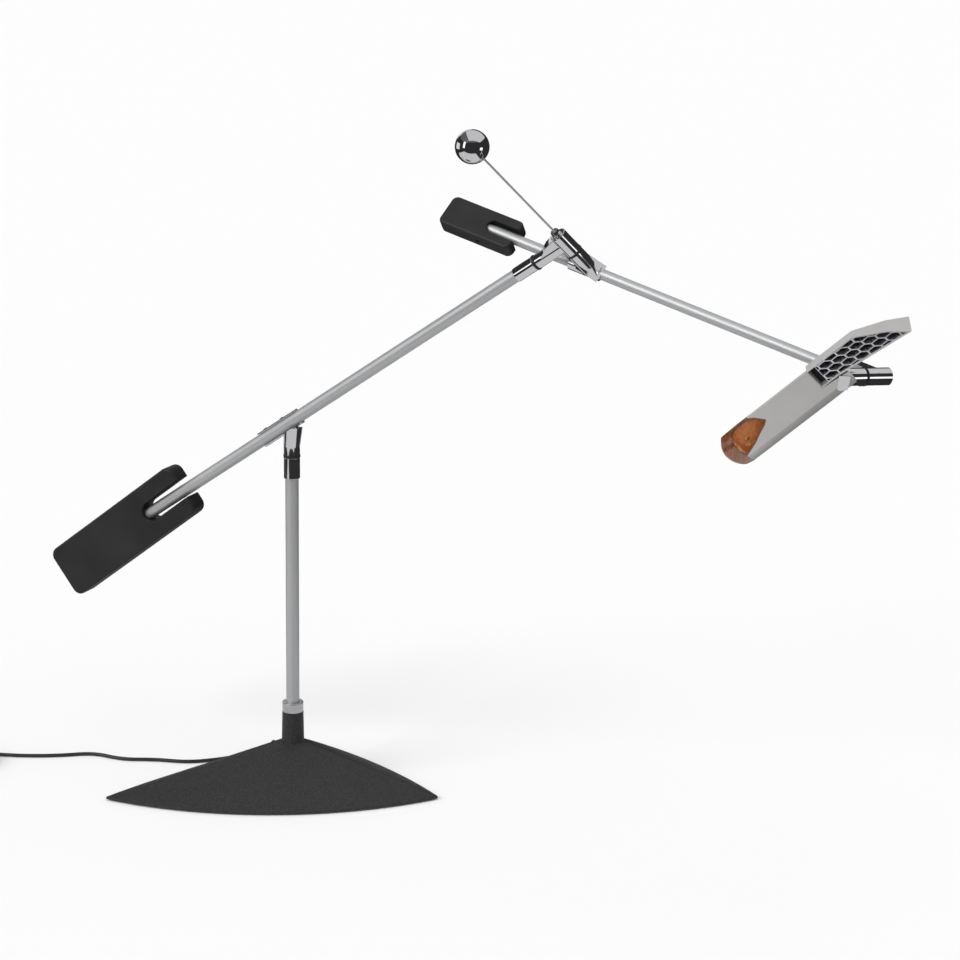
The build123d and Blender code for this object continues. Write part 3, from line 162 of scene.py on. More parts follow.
def vary_roughness(material, pattern, low, high):
    """The roughness goes from the first number to the second as the pattern rises."""
    tree = material.node_tree
    spread = tree.nodes.new("ShaderNodeMapRange")
    spread.inputs["From Min"].default_value = NOISE_LOW
    spread.inputs["From Max"].default_value = NOISE_HIGH
    spread.inputs["To Min"].default_value = low
    spread.inputs["To Max"].default_value = high
    tree.links.new(pattern, spread.inputs["Value"])
    tree.links.new(spread.outputs["Result"], shader_of(material).inputs["Roughness"])


def vary_color(material, pattern, first, second, start=NOISE_LOW, end=NOISE_HIGH):
    """The colour goes from the first to the second as the pattern rises from start to end."""
    tree = material.node_tree
    ramp = tree.nodes.new("ShaderNodeValToRGB")
    for element, position, color in zip(ramp.color_ramp.elements, (start, end), (first, second)):
        element.position = position
        element.color = (*color, 1)
    tree.links.new(pattern, ramp.inputs["Fac"])
    tree.links.new(ramp.outputs["Color"], shader_of(material).inputs["Base Color"])


def bump(material, pattern, depth, strength):
    """Bends the surface by a pattern; depth is in metres. A second call adds to the first."""
    tree = material.node_tree
    normal = shader_of(material).inputs["Normal"]
    node = tree.nodes.new("ShaderNodeBump")
    node.inputs["Strength"].default_value = strength
    node.inputs["Distance"].default_value = depth
    tree.links.new(pattern, node.inputs["Height"])
    if normal.links:
        tree.links.new(normal.links[0].from_socket, node.inputs["Normal"])
    tree.links.new(node.outputs["Normal"], normal)


# %% [markdown]
# ## Black finishes
#
# The base is powder coated, with a grain that shows as fine specks: one noise makes the grains and a
# coarser one the waves under them. The counterweights have a smoother, satin black, the swivels' rings and
# the plug are molded plastic, and the feet are rubber. The lead's sleeve is soft and a little dull, and
# its tie is woven. All of them are nearly the same colour, so it is the roughness that tells them apart.

# %% The base's powder coat
def grained_black():
    material = start_material("grained_black", (0.014, 0.014, 0.015), 0.5, specular=0.45)
    grain = noise(material, scale=900, detail=5.0, roughness=0.65)
    waves = noise(material, scale=330, detail=2.0)
    vary_color(material, grain, (0.006, 0.006, 0.007), (0.042, 0.042, 0.044), start=0.35, end=0.72)
    vary_roughness(material, grain, 0.62, 0.42)
    bump(material, grain, depth=0.00030, strength=0.9)
    bump(material, waves, depth=0.00030, strength=0.6)
    return material


# %% The counterweights' satin black and the molded black
def satin_black():
    material = start_material("satin_black", (0.012, 0.012, 0.013), 0.38, specular=0.35)
    grain = noise(material, scale=2600, detail=2.0)
    clouds = noise(material, scale=30)
    vary_color(material, clouds, (0.010, 0.010, 0.011), (0.016, 0.016, 0.017))
    vary_roughness(material, clouds, 0.42, 0.52)
    bump(material, grain, depth=0.00005, strength=0.5)
    return material


def molded_black(name="molded_black", roughness=0.45, spread=0.06):
    material = start_material(name, (0.012, 0.012, 0.012), roughness)
    grain = noise(material, scale=1800, detail=2.0)
    vary_roughness(material, grain, roughness - spread, roughness + spread)
    bump(material, grain, depth=0.00003, strength=0.5)
    return material


# %% The lead's sleeve and its tie
def lead_rubber():
    material = start_material("lead_rubber", (0.016, 0.016, 0.017), 0.48)
    grain = noise(material, scale=900)
    clouds = noise(material, scale=40, detail=2.0)
    vary_color(material, clouds, (0.012, 0.012, 0.013), (0.022, 0.022, 0.023))
    vary_roughness(material, grain, 0.42, 0.56)
    bump(material, grain, depth=0.00004, strength=0.5)
    return material


def woven_tie():
    material = start_material("woven_tie", (0.02, 0.02, 0.021), 0.8)
    loops = noise(material, scale=2600, detail=2.0)
    vary_color(material, loops, (0.012, 0.012, 0.013), (0.035, 0.035, 0.037))
    vary_roughness(material, loops, 0.7, 0.9)
    bump(material, loops, depth=0.0002, strength=0.8)
    return material


# %% [markdown]
# ## Metal finishes
#
# The tubes are drawn aluminium: satin, with faint streaks along them. A noise whose grains are a quarter
# of a metre long and a millimetre wide gives such streaks, once it is turned to the tube. The collar on
# the post is turned, so its grains are flat rings. Saddles, ferrules and the ball are chromed, nearly a
# mirror, so they need only a trace of roughness to look real. Screws and spindles are plain turned steel.

# %% The tubes' drawn aluminium
STREAK = (0.25, 0.0011, 0.0011)        # metres along the tube and across it


def satin_tube(name, along):
    """Drawn aluminium whose streaks run along a direction."""
    material = start_material(name, (0.50, 0.505, 0.51), 0.46, metallic=0.7)
    streaks = noise(material, size=STREAK, turn=along.to_track_quat("X", "Z").to_euler())
    clouds = noise(material, scale=55, detail=2.0)
    vary_color(material, streaks, (0.475, 0.48, 0.485), (0.525, 0.53, 0.535))
    vary_roughness(material, clouds, 0.43, 0.50)
    bump(material, streaks, depth=0.00002, strength=0.3)
    return material


# %% The collar, the chrome and the steel
RING = (0.016, 0.016, 0.0007)          # metres across the collar and along the post


def light_collar():
    material = start_material("light_collar", (0.62, 0.62, 0.63), 0.3, metallic=1.0)
    rings = noise(material, detail=2.0, size=RING)
    vary_roughness(material, rings, 0.24, 0.36)
    bump(material, rings, depth=0.00002, strength=0.4)
    return material


def chrome():
    material = start_material("chrome", (0.80, 0.80, 0.815), 0.06, metallic=1.0)
    clouds = noise(material, scale=60, detail=4.0)
    vary_roughness(material, clouds, 0.035, 0.10)
    bump(material, clouds, depth=0.00010, strength=0.12)
    return material


def turned_steel():
    material = start_material("turned_steel", (0.50, 0.50, 0.51), 0.22, metallic=1.0)
    grain = noise(material, scale=700, detail=2.0)
    vary_roughness(material, grain, 0.16, 0.3)
    return material


# %% [markdown]
# ## Head finishes
#
# The head's body has a grey metallic paint. Its light comes through a mirrored grid of plastic, with a
# black board and small yellow diodes behind it. The tip is clear amber plastic, smoked a little, so its
# shader is mostly transmission. Faint upright streaks vary its tint.

# %% The head's paint
def head_grey():
    material = start_material("head_grey", (0.55, 0.54, 0.525), 0.36, metallic=0.55)
    grain = noise(material, scale=2400, detail=2.0)
    clouds = noise(material, scale=40)
    vary_color(material, clouds, (0.53, 0.522, 0.508), (0.57, 0.561, 0.546))
    vary_roughness(material, grain, 0.32, 0.42)
    bump(material, grain, depth=0.00003, strength=0.5)
    return material


# %% The light's mirrored grid, board and diodes
def mirror_plastic():
    material = start_material("mirror_plastic", (0.80, 0.80, 0.86), 0.2, metallic=0.9)
    clouds = noise(material, scale=300, detail=2.0)
    vary_roughness(material, clouds, 0.14, 0.26)
    return material


def board_black():
    material = start_material("board_black", (0.012, 0.012, 0.015), 0.5)
    grain = noise(material, scale=500, detail=2.0)
    vary_roughness(material, grain, 0.45, 0.6)
    return material


def led_yellow():
    material = start_material("led_yellow", (0.22, 0.18, 0.07), 0.3)
    grain = noise(material, scale=900, detail=2.0)
    vary_color(material, grain, (0.20, 0.16, 0.06), (0.25, 0.20, 0.09))
    return material


# %% The amber tip and the plate in it
AMBER_STREAK = (0.0014, 0.033, 0.033)  # metres
PLASTIC_IOR = 1.45


def smoked_amber():
    material = start_material("smoked_amber", (0.34, 0.17, 0.09), 0.1)
    shader_of(material).inputs["Transmission Weight"].default_value = 0.85
    shader_of(material).inputs["IOR"].default_value = PLASTIC_IOR
    streaks = noise(material, detail=2.0, size=AMBER_STREAK)
    vary_color(material, streaks, (0.30, 0.13, 0.06), (0.56, 0.29, 0.15))
    vary_roughness(material, streaks, 0.06, 0.16)
    return material


def amber_plate():
    material = start_material("amber_plate", (0.55, 0.16, 0.03), 0.35)
    grain = noise(material, scale=400, detail=2.0)
    vary_color(material, grain, (0.50, 0.14, 0.025), (0.62, 0.22, 0.05))
    return material


# %% [markdown]
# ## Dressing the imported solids
#
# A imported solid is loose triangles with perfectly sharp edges, which no real part has: a real edge is
# rounded by its tool, its mold or its polish, and that rounding is what catches the light. The solid
# itself is left alone. A copy is merged and its flat faces are joined again, then a Bevel modifier rounds
# its sharp edges by a few tenths of a millimetre. The copy is shown in the solid's place, and the solid
# stays underneath for the motion and the collisions.

# %% Make an object of a mesh
def new_object(name, mesh, material=None):
    """Makes an object of a bmesh, which keeps its place in its mesh."""
    data = bpy.data.meshes.new(name)
    mesh.to_mesh(data)
    mesh.free()
    if material:
        data.materials.append(material)
    thing = bpy.data.objects.new(name, data)
    scene.collection.objects.link(thing)
    return thing


# %% Merge a solid's triangles
MERGE_DISTANCE = 1e-6                  # metres
FLAT_WITHIN = radians(0.3)


def merged_copy(node):
    """A copy of a solid with whole flat faces instead of loose triangles."""
    mesh = bmesh.new()
    mesh.from_mesh(nodes[node].data)
    bmesh.ops.remove_doubles(mesh, verts=mesh.verts, dist=MERGE_DISTANCE)
    bmesh.ops.dissolve_limit(mesh, angle_limit=FLAT_WITHIN, verts=mesh.verts, edges=mesh.edges)
    return mesh


# %% Show a piece in a solid's place
SHARP_ANGLE = 30.0                     # degrees


def stand_in(name, mesh, material, node, edge, segments=3, sharp=SHARP_ANGLE):
    """Shows a piece with softened edges in the place of a solid, and lets it ride where the solid is."""
    for face in mesh.faces:
        face.smooth = True
    for line in mesh.edges:
        line.smooth = line.calc_face_angle(pi) < radians(sharp)
    piece = new_object(name, mesh, material)
    if edge:
        softened = piece.modifiers.new("edges", "BEVEL")
        softened.width = edge
        softened.segments = segments
        softened.limit_method = "ANGLE"
        softened.angle_limit = radians(sharp)
        softened.harden_normals = True
    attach(piece, body_of_node[node])
    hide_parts(node)
    print(name, "has", len(piece.data.polygons), "faces")
    return piece


def dress(node, material, edge, segments=2, sharp=SHARP_ANGLE):
    """Shows a solid as a merged copy of itself."""
    return stand_in(node + "_skin", merged_copy(node), material, node, edge, segments, sharp)


# %% Widths of the softened edges, in metres
NO_EDGE = 0                            # a tube's ends, a ball
SCREW_EDGE = 0.0001
FINE_EDGE = 0.0002                     # pins, spindles and the light's small parts
MOLDED_EDGE = 0.0003                   # also thin rims, such as those of the opened saddle
CAST_EDGE = 0.0004
POLISHED_EDGE = 0.0005
SMALL_WEIGHT_EDGE = 0.0006
WEIGHT_EDGE = 0.0008                   # also the plug's

# %% [markdown]
# ## Directions of the tubes
#
# The streaks on a tube run along it, so each tube's direction is needed. The lamp already knows some of
# them: a swivel's axis is the axis of the piece that turns in it. For the upper tube, which lies along
# no swivel, the two points of its solid that are farthest apart tell the direction.

# %% Measure the directions
def direction_of(joint):
    """The axis of one of the lamp's joints."""
    return Vector(joints[joint]["axis"]).normalized()


def longest_axis(node):
    """The direction of a long, thin solid, from its two farthest ends."""
    corners = [v.co.copy() for v in nodes[node].data.vertices]
    far = max(corners, key=lambda p: (p - corners[0]).length)
    other = max(corners, key=lambda p: (p - far).length)
    return (other - far).normalized()


lower_along = direction_of("elbow_roll")
barrel_along = direction_of("elbow_swivel")
upper_along = longest_axis("upper_arm_tube")
print("tubes run along", [round(x, 3) for x in lower_along], [round(x, 3) for x in upper_along])

# %% [markdown]
# ## The base and the post
#
# The base is one heavy casting under a powder coat, closed from below by a cover with a rubber foot. The
# collar is the one bright ring at the foot of the post, and a chromed ferrule ends the tube where the
# lower arm turns. Their solids have the right shapes, so each only gets its finish and its edges.

# %% Finishes that several pieces share
BASE_GRAIN = grained_black()
WEIGHT_BLACK = satin_black()
RING_BLACK = molded_black()
FOOT_RUBBER = molded_black("foot_rubber", 0.7)
CHROME = chrome()
STEEL = turned_steel()
print("shared finishes", len(bpy.data.materials))

# %% Dress the base
dress("base_shell", BASE_GRAIN, CAST_EDGE)
dress("base_cover", WEIGHT_BLACK, MOLDED_EDGE)
dress("foot_pad", FOOT_RUBBER, MOLDED_EDGE)
dress("ballast_plate", WEIGHT_BLACK, MOLDED_EDGE)

# %% Dress the post
dress("base_collar", light_collar(), POLISHED_EDGE)
dress("post_tube", satin_tube("post_satin", UP), NO_EDGE)
dress("post_locknut", BASE_GRAIN, CAST_EDGE)
dress("post_ferrule", CHROME, POLISHED_EDGE, segments=3)
dress("post_spindle", STEEL, FINE_EDGE)
dress("post_ring", RING_BLACK, MOLDED_EDGE)
dress("cord_gland", FOOT_RUBBER, MOLDED_EDGE)

# %% [markdown]
# ## The lower arm
#
# The lower arm is one long tube, with the large counterweight at its short end and a ferrule at its long
# one. The counterweight's edges are the widest of the lamp's, so its bevel gets a third segment: with two,
# the highlight along it would look faceted.

# %% Dress the lower arm
dress("lower_saddle_screws", STEEL, SCREW_EDGE)
dress("lower_arm_tube", satin_tube("lower_satin", lower_along), NO_EDGE)
dress("lower_counterweight", WEIGHT_BLACK, WEIGHT_EDGE, segments=3)
dress("lower_weight_pin", STEEL, FINE_EDGE)
dress("lower_arm_ferrule", CHROME, POLISHED_EDGE, segments=3)
dress("elbow_roll_spindle", STEEL, FINE_EDGE)
dress("elbow_roll_ring", RING_BLACK, MOLDED_EDGE)

# %% [markdown]
# ## The balance ball
#
# A chromed ball on a thin rod balances the elbow. The rod stands along the elbow's own swivel, so its
# streaks take that axis. The ball and the rod have no sharp edges to soften.

# %% Dress the elbow's small pieces
dress("elbow_spindle", STEEL, FINE_EDGE)
dress("elbow_ring", RING_BLACK, MOLDED_EDGE)
dress("rod_nut", CHROME, FINE_EDGE)
dress("balance_rod", satin_tube("rod_satin", barrel_along), NO_EDGE)
dress("balance_ball", CHROME, NO_EDGE)

# %% [markdown]
# ## The lower saddle
#
# The saddle holds the lower arm from behind, like a cradle: from the front the whole tube shows, with
# only a thin rim of the saddle above and below it. The saddle could be drawn anew, but only its front is
# too full. So the solid's copy is opened towards the viewer by a Boolean, whose cutter is a block a little
# wider than the tube that starts at the tube's axis.

# %% Find the saddle's place
facing = -forward
towards_viewer = (facing - lower_along * facing.dot(lower_along)).normalized()
level_along = Vector((lower_along.x, lower_along.y, 0))
tube_low, tube_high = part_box("lower_arm_tube")
tube_middle = (tube_low + tube_high) / 2
saddle_middle = tube_middle - lower_along * (tube_middle.dot(level_along) / level_along.length_squared)
print("tube crosses the post at", [round(x, 4) for x in saddle_middle])

# %% Draw the block that opens the saddle
OPENING_LENGTH = 0.090
OPENING_DEPTH = 0.024
OPENING_WIDTH = 0.013                  # a millimetre more than the tube

block = bmesh.new()
bmesh.ops.create_cube(block, size=1.0)
block_axes = axes_at(lower_along, towards_viewer, lower_along.cross(towards_viewer),
                     saddle_middle + towards_viewer * (OPENING_DEPTH / 2))
block_size = Matrix.Diagonal((OPENING_LENGTH, OPENING_DEPTH, OPENING_WIDTH, 1))
bmesh.ops.transform(block, matrix=block_axes @ block_size, verts=block.verts)
print("block volume", round(block.calc_volume() * 1e6, 2), "cubic centimetres")


# %% Open the lower saddle
def cut_away(mesh, tool):
    """What is left of one bmesh when another is cut out of it."""
    whole = new_object("cut_whole", mesh)
    knife = new_object("cut_knife", tool)
    cut = whole.modifiers.new("cut", "BOOLEAN")
    cut.operation = "DIFFERENCE"
    cut.solver = "EXACT"
    cut.object = knife
    evaluated = whole.evaluated_get(bpy.context.evaluated_depsgraph_get())
    left = bmesh.new()
    left.from_mesh(bpy.data.meshes.new_from_object(evaluated))
    for thing in (whole, knife):
        bpy.data.objects.remove(thing)
    return left


opened = cut_away(merged_copy("lower_saddle"), block)
stand_in("lower_saddle_open", opened, CHROME, "lower_saddle", MOLDED_EDGE)

# %% [markdown]
# ## The elbow casting
#
# The casting is two crossed barrels with a thin web in the corner between them. Its web is a little
# lower than the barrels, so that each barrel shows as a whole cylinder beside one flat face. It could be
# joined into one skin, but closed shells that sink into one another give just that look, and the polish
# hides where they meet, as it does on the real casting.

# %% The elbow's own directions
ELBOW_JOINT_AHEAD = 0.020              # the joint's place, along the barrel from the casting's middle

elbow_middle = Vector(joints["elbow_swivel"]["pos_m"]) - barrel_along * ELBOW_JOINT_AHEAD
elbow_axes = axes_at(lower_along, barrel_along, lower_along.cross(barrel_along), elbow_middle)
print("elbow middle", [round(x, 4) for x in elbow_middle])

# %% Measures of the casting
ELBOW_NECK = (-0.0330, 0.0)            # metres, from the casting's middle
ELBOW_NECK_RADIUS = 0.0068
ELBOW_BARREL = (-0.0117, 0.0106)
ELBOW_BARREL_RADIUS = 0.0078
ELBOW_BOSS = (-0.0132, -0.0117)
ELBOW_BOSS_RADIUS = 0.0040
ELBOW_WEB_HALF = 0.0059
MILLIMETRE = 0.001
ELBOW_WEB = [                          # millimetres, along the neck and along the barrel
    (-31.5, 3.6), (-31.5, -1.5), (-27, -3.2), (-15.6, -9.4), (-7, -11.7), (0, -11.7),
    (0, 3.0), (-3, 2.6), (-9.3, 1.6), (-13.5, 2.2), (-17.4, 3.6),
]

# %% Draw the barrels
BAR_SEGMENTS = 96
ALONG_NECK = Matrix.Rotation(pi / 2, 4, "Y")
ALONG_BARREL = Matrix.Rotation(-pi / 2, 4, "X")


def round_bar(mesh, turn, ends, radius):
    """A closed bar from one end to the other, drawn upright and then turned along the neck or barrel."""
    start, end = ends
    middle = Matrix.Translation((0, 0, (start + end) / 2))
    bmesh.ops.create_cone(mesh, cap_ends=True, segments=BAR_SEGMENTS, radius1=radius, radius2=radius,
                          depth=end - start, matrix=elbow_axes @ turn @ middle)


casting = bmesh.new()
round_bar(casting, ALONG_NECK, ELBOW_NECK, ELBOW_NECK_RADIUS)
round_bar(casting, ALONG_BARREL, ELBOW_BARREL, ELBOW_BARREL_RADIUS)
round_bar(casting, ALONG_BARREL, ELBOW_BOSS, ELBOW_BOSS_RADIUS)
print("barrels have", len(casting.faces), "faces")

# %% Add the web
lowest = [casting.verts.new((u * MILLIMETRE, v * MILLIMETRE, -ELBOW_WEB_HALF)) for u, v in ELBOW_WEB]
web_face = casting.faces.new(lowest)
raised = bmesh.ops.extrude_face_region(casting, geom=[web_face], use_keep_orig=True)["geom"]
highest = [part for part in raised if isinstance(part, bmesh.types.BMVert)]
bmesh.ops.translate(casting, vec=(0, 0, 2 * ELBOW_WEB_HALF), verts=highest)
bmesh.ops.transform(casting, matrix=elbow_axes, verts=lowest + highest)
bmesh.ops.recalc_face_normals(casting, faces=casting.faces)
stand_in("elbow_casting_shown", casting, CHROME, "elbow_casting", POLISHED_EDGE)

# %% [markdown]
# ## The upper arm
#
# The upper arm repeats the lower one at a smaller size: a satin tube, a counterweight at its back end, a
# chromed saddle on the elbow and another that carries the head.

# %% Dress the upper arm
dress("upper_saddle", CHROME, POLISHED_EDGE, segments=3)
dress("upper_saddle_screws", STEEL, SCREW_EDGE)
dress("upper_arm_tube", satin_tube("upper_satin", upper_along), NO_EDGE)
dress("upper_counterweight", WEIGHT_BLACK, SMALL_WEIGHT_EDGE, segments=3)
dress("upper_weight_pin", STEEL, FINE_EDGE)
dress("head_saddle", CHROME, POLISHED_EDGE, segments=3)
dress("head_spindle", STEEL, FINE_EDGE)
dress("head_ring", RING_BLACK, MOLDED_EDGE)

# %% [markdown]
# ## The head
#
# The head's body is a long shell that holds the light. Some of its faces meet at small angles that are
# meant to show as lines, so on it an edge counts as sharp from 12 degrees on instead of 30. The diodes'
# board lies deep behind the grid, where no edge is seen, and keeps its plain ones.

# %% Dress the head
FACET_ANGLE = 12.0                     # degrees
HEAD_GREY = head_grey()

dress("head_lug", CHROME, POLISHED_EDGE, segments=3)
dress("head_body", HEAD_GREY, MOLDED_EDGE, sharp=FACET_ANGLE)
dress("led_housing", HEAD_GREY, CAST_EDGE)

# %% Dress the light
dress("led_board", board_black(), NO_EDGE)
dress("leds", led_yellow(), FINE_EDGE)
dress("reflector_grid", mirror_plastic(), FINE_EDGE)
dress("amber_tip", smoked_amber(), MOLDED_EDGE)
dress("control_plate", amber_plate(), FINE_EDGE)

# %% [markdown]
# ## The lead
#
# The lead is a thin black cable that leaves the base low at the back and lies on the table in loose
# bends. It has one length from end to end, so it is one smooth spline rather than pieces laid end to
# end: first the bends that are seen, given one by one, and then the part that is put away.

# %% The bends that are seen
LEAD_DIAMETER = 0.0036
OVER_TABLE = 0.00005                   # a hair's breadth, so that the lead doesn't cut into the table
LEAD_ON_TABLE = LEAD_DIAMETER / 2 + OVER_TABLE

LEAD_ROUTE = [
    (-0.0120, 0.0715, 0.0076), (-0.0210, 0.0783, 0.0072), (-0.0360, 0.0850, 0.0035),
    (-0.0460, 0.0715, LEAD_ON_TABLE), (-0.0600, 0.0605, LEAD_ON_TABLE),
    (-0.0800, 0.0500, LEAD_ON_TABLE), (-0.1100, 0.0405, LEAD_ON_TABLE),
    (-0.1440, 0.0470, LEAD_ON_TABLE), (-0.1780, 0.0450, LEAD_ON_TABLE),
    (-0.2090, 0.0615, LEAD_ON_TABLE), (-0.2410, 0.0530, LEAD_ON_TABLE),
    (-0.2770, 0.0500, LEAD_ON_TABLE), (-0.3130, 0.0535, LEAD_ON_TABLE),
]
print("seen bends have", len(LEAD_ROUTE), "points")

# %% [markdown]
# ## The coil
#
# A lamp in use needs only a part of its lead, and the rest is wound into a neat coil in four layers. A
# helix would need a jump from each layer to the next. Here the coil is made of half turns instead, each
# half a pitch smaller or larger than the one before, so that it spirals inwards, rises, spirals outwards
# and so on, as a hand winds it.

# %% Measures of the coil
COIL_LIFT = 0.0009                     # the tie's band passes under the coil
TURN_PITCH = 0.0041
COIL_LAYERS = 4
COIL_TURNS = 3                         # side by side in a layer
COIL_MIDDLE_RADIUS = 0.0216
COIL_START = Vector((-0.3460, 0.0505, LEAD_ON_TABLE + COIL_LIFT))

heading = COIL_START - Vector(LEAD_ROUTE[-1])
heading.z = 0
heading.normalize()
across = heading.cross(UP)
coil_outer = COIL_MIDDLE_RADIUS + TURN_PITCH / 2 * COIL_TURNS
coil_centre = COIL_START - across * coil_outer
print("coil centre", [round(x, 4) for x in coil_centre])


# %% Where the half turns end
def half_turn_ends():
    """Places across the coil and above its lowest turns, in layers wound inwards and outwards by turns."""
    places = []
    radius = coil_outer
    halves = 2 * COIL_TURNS
    for layer in range(COIL_LAYERS):
        step = -TURN_PITCH / 2 if layer % 2 == 0 else TURN_PITCH / 2
        for half in range(halves):
            side = 1 if half % 2 == 0 else -1
            places.append((radius * side, layer * TURN_PITCH))
            # The half turn that rises to the next layer lies past the layer's other turns, clear of them.
            beside_rise = half == halves - 2 or (half == 0 and layer > 0)
            radius += step * (2 if beside_rise else 1)
    places.append((radius, (COIL_LAYERS - 1) * TURN_PITCH))
    return places


ends = half_turn_ends()
half_turns = list(zip(ends, ends[1:]))
print("half turns", len(half_turns))

# %% Points of the coil
POINTS_PER_HALF_TURN = 12
# A spline runs a little inside its points, so they stand further out than the turn itself.
POINTS_OUTWARDS = 1 / cos(pi / POINTS_PER_HALF_TURN / 2)

coil_points = []
for index, ((start, low), (end, high)) in enumerate(half_turns):
    ahead = 1 if index % 2 == 0 else -1
    middle = (start + end) / 2
    reach = abs(end - start) / 2 * POINTS_OUTWARDS
    for step in range(POINTS_PER_HALF_TURN):
        share = (step + 0.5) / POINTS_PER_HALF_TURN
        sideways = middle + reach * cos(pi * share) * ahead
        onwards = reach * sin(pi * share) * ahead
        rise = low + (high - low) * share
        coil_points.append(coil_centre + across * sideways + heading * onwards + UP * rise)
print("coil points", len(coil_points))

# %% [markdown]
# ## The tail
#
# From the top of the coil the lead sinks to the plug, which lies on the table. It runs level at first,
# then down in two even bends and level again into the plug, so that it meets the plug straight.

# %% Points of the tail
PLUG_HEIGHT = 0.0072                   # the lead's axis where it enters the plug
TAIL_LEVEL = 0.014                     # level run, before the first bend
TAIL_RADIUS = 0.050
FIRST_POINT_AHEAD = 0.012
LAST_POINT_BACK = 0.014

last_across, last_rise = ends[-1]
tail_start = coil_centre + across * last_across + UP * last_rise
tail_drop = LEAD_ON_TABLE + last_rise - PLUG_HEIGHT
lean = acos(1 - tail_drop / 2 / TAIL_RADIUS)
tail_run = TAIL_LEVEL + 2 * TAIL_RADIUS * sin(lean)
tail_end = tail_start + heading * tail_run
tail_end.z = PLUG_HEIGHT
tail_points = [
    tail_start + heading * FIRST_POINT_AHEAD,
    tail_end - heading * LAST_POINT_BACK,
    tail_end,
]
print("plug neck starts at", [round(x, 4) for x in tail_end])

# %% [markdown]
# ## The tie
#
# A wound lead springs open by itself, so a soft band holds it. It goes round the bundle on the side away
# from the lamp. It starts as a block of the bundle's size with rounded corners; without its two ends it
# is a sleeve, and Solidify's operator gives the sleeve its thickness.

# %% Measure the bundle
TIE_THICKNESS = 0.0007
TIE_WIDTH = 0.009
TIE_GAP = 0.0002
TIE_CORNER = 0.0024

tied_turns = half_turns[::2]           # those on the side away from the lamp
reaches = [abs(b[0] - a[0]) / 2 for a, b in tied_turns]
middles = [(a[0] + b[0]) / 2 for a, b in tied_turns]
inside = min(reaches) - LEAD_DIAMETER / 2 - TIE_GAP
outside = max(reaches) + LEAD_DIAMETER / 2 + TIE_GAP
bundle_height = LEAD_DIAMETER + (COIL_LAYERS - 1) * TURN_PITCH + 2 * TIE_GAP
print("bundle", round(outside - inside, 4), "wide and", round(bundle_height, 4), "high")

# %% Draw the sleeve
CORNER_SEGMENTS = 6
END_FACE = 0.9                         # a face whose normal has more than this along y is an end

tie = bmesh.new()
bmesh.ops.create_cube(tie, size=1.0)
bmesh.ops.scale(tie, vec=(outside - inside, TIE_WIDTH, bundle_height), verts=tie.verts)
long_edges = [e for e in tie.edges if abs((e.verts[0].co - e.verts[1].co).y) > TIE_WIDTH / 2]
bmesh.ops.bevel(tie, geom=long_edges, offset=TIE_CORNER, offset_type="OFFSET", affect="EDGES",
                segments=CORNER_SEGMENTS, profile=0.5, material=-1)
bmesh.ops.delete(tie, geom=[f for f in tie.faces if abs(f.normal.y) > END_FACE], context="FACES_ONLY")
bmesh.ops.recalc_face_normals(tie, faces=tie.faces)
bmesh.ops.solidify(tie, geom=tie.faces[:], thickness=-TIE_THICKNESS)
bmesh.ops.recalc_face_normals(tie, faces=tie.faces)
print("tie has", len(tie.faces), "faces")

# %% Put the tie round the bundle
tie_place = coil_centre + across * (sum(middles) / len(middles)) + heading * (inside + outside) / 2
tie_place.z = COIL_START.z - LEAD_DIAMETER / 2 - TIE_GAP + bundle_height / 2
tie_axes = axes_at(heading, UP.cross(heading), UP, tie_place)
bmesh.ops.transform(tie, matrix=tie_axes, verts=tie.verts)
print("tie from", round(min(v.co.z for v in tie.verts), 5), "to", round(max(v.co.z for v in tie.verts), 5))
lead_tie = new_object("lead_tie", tie, woven_tie())
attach(lead_tie, "base")

# %% [markdown]
# ## One spline for the lead
#
# The points of the bends, the coil and the tail become one curve with a round bevel. Order 3 keeps the
# curve near its points, and the endpoint setting lets it start and end on the first and the last one.

# %% Build the lead
lead_points = [Vector(p) for p in LEAD_ROUTE] + [COIL_START] + coil_points + tail_points
lead_curve = bpy.data.curves.new("lead", "CURVE")
lead_curve.dimensions = "3D"
spline = lead_curve.splines.new("NURBS")
spline.points.add(len(lead_points) - 1)
for point, place in zip(spline.points, lead_points):
    point.co = (*place, 1)
spline.order_u = 3
spline.use_endpoint_u = True
spline.resolution_u = 6
lead_curve.bevel_depth = LEAD_DIAMETER / 2
lead_curve.bevel_resolution = 4
lead_curve.use_fill_caps = True
lead_curve.materials.append(lead_rubber())
lead = bpy.data.objects.new("lead", lead_curve)
scene.collection.objects.link(lead)
print("lead has", len(lead_points), "points")

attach(lead, "base")
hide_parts("power_cord", "cord_coil")
plug = dress("plug", RING_BLACK, WEIGHT_EDGE, segments=3)

# %% [markdown]
# ## The floor
#
# The floor is plain and pale, and far larger than the picture, so that no edge of it shows. It is fully
# matt: a shine would mirror the sky and wash the lamp's shadow out.

# %% Lay the floor
FLOOR_SIZE = 60.0


def stage_surface(name, mesh, material):
    """A surface of the studio, which isn't part of the lamp."""
    thing = new_object(name, mesh, material)
    return thing


floor_mesh = bmesh.new()
bmesh.ops.create_grid(floor_mesh, x_segments=1, y_segments=1, size=FLOOR_SIZE)
stage_surface("floor", floor_mesh, start_material("floor", (0.86, 0.86, 0.86), 0.9, specular=0.0))
print("floor", 2 * FLOOR_SIZE, "metres wide")

# %% [markdown]
# ## Screens and soft boxes
#
# Polished metal shows nothing but its surroundings, so a chromed part in an all-white room looks like
# white paint. A product photographer stands dark screens and a few soft boxes round the lamp. Here they
# are surfaces that only reflections can see, so they shape the chrome and leave the floor and the
# shadows alone.

# %% What a card is
COOL = 1.01                            # blue against red and green in the cards' light


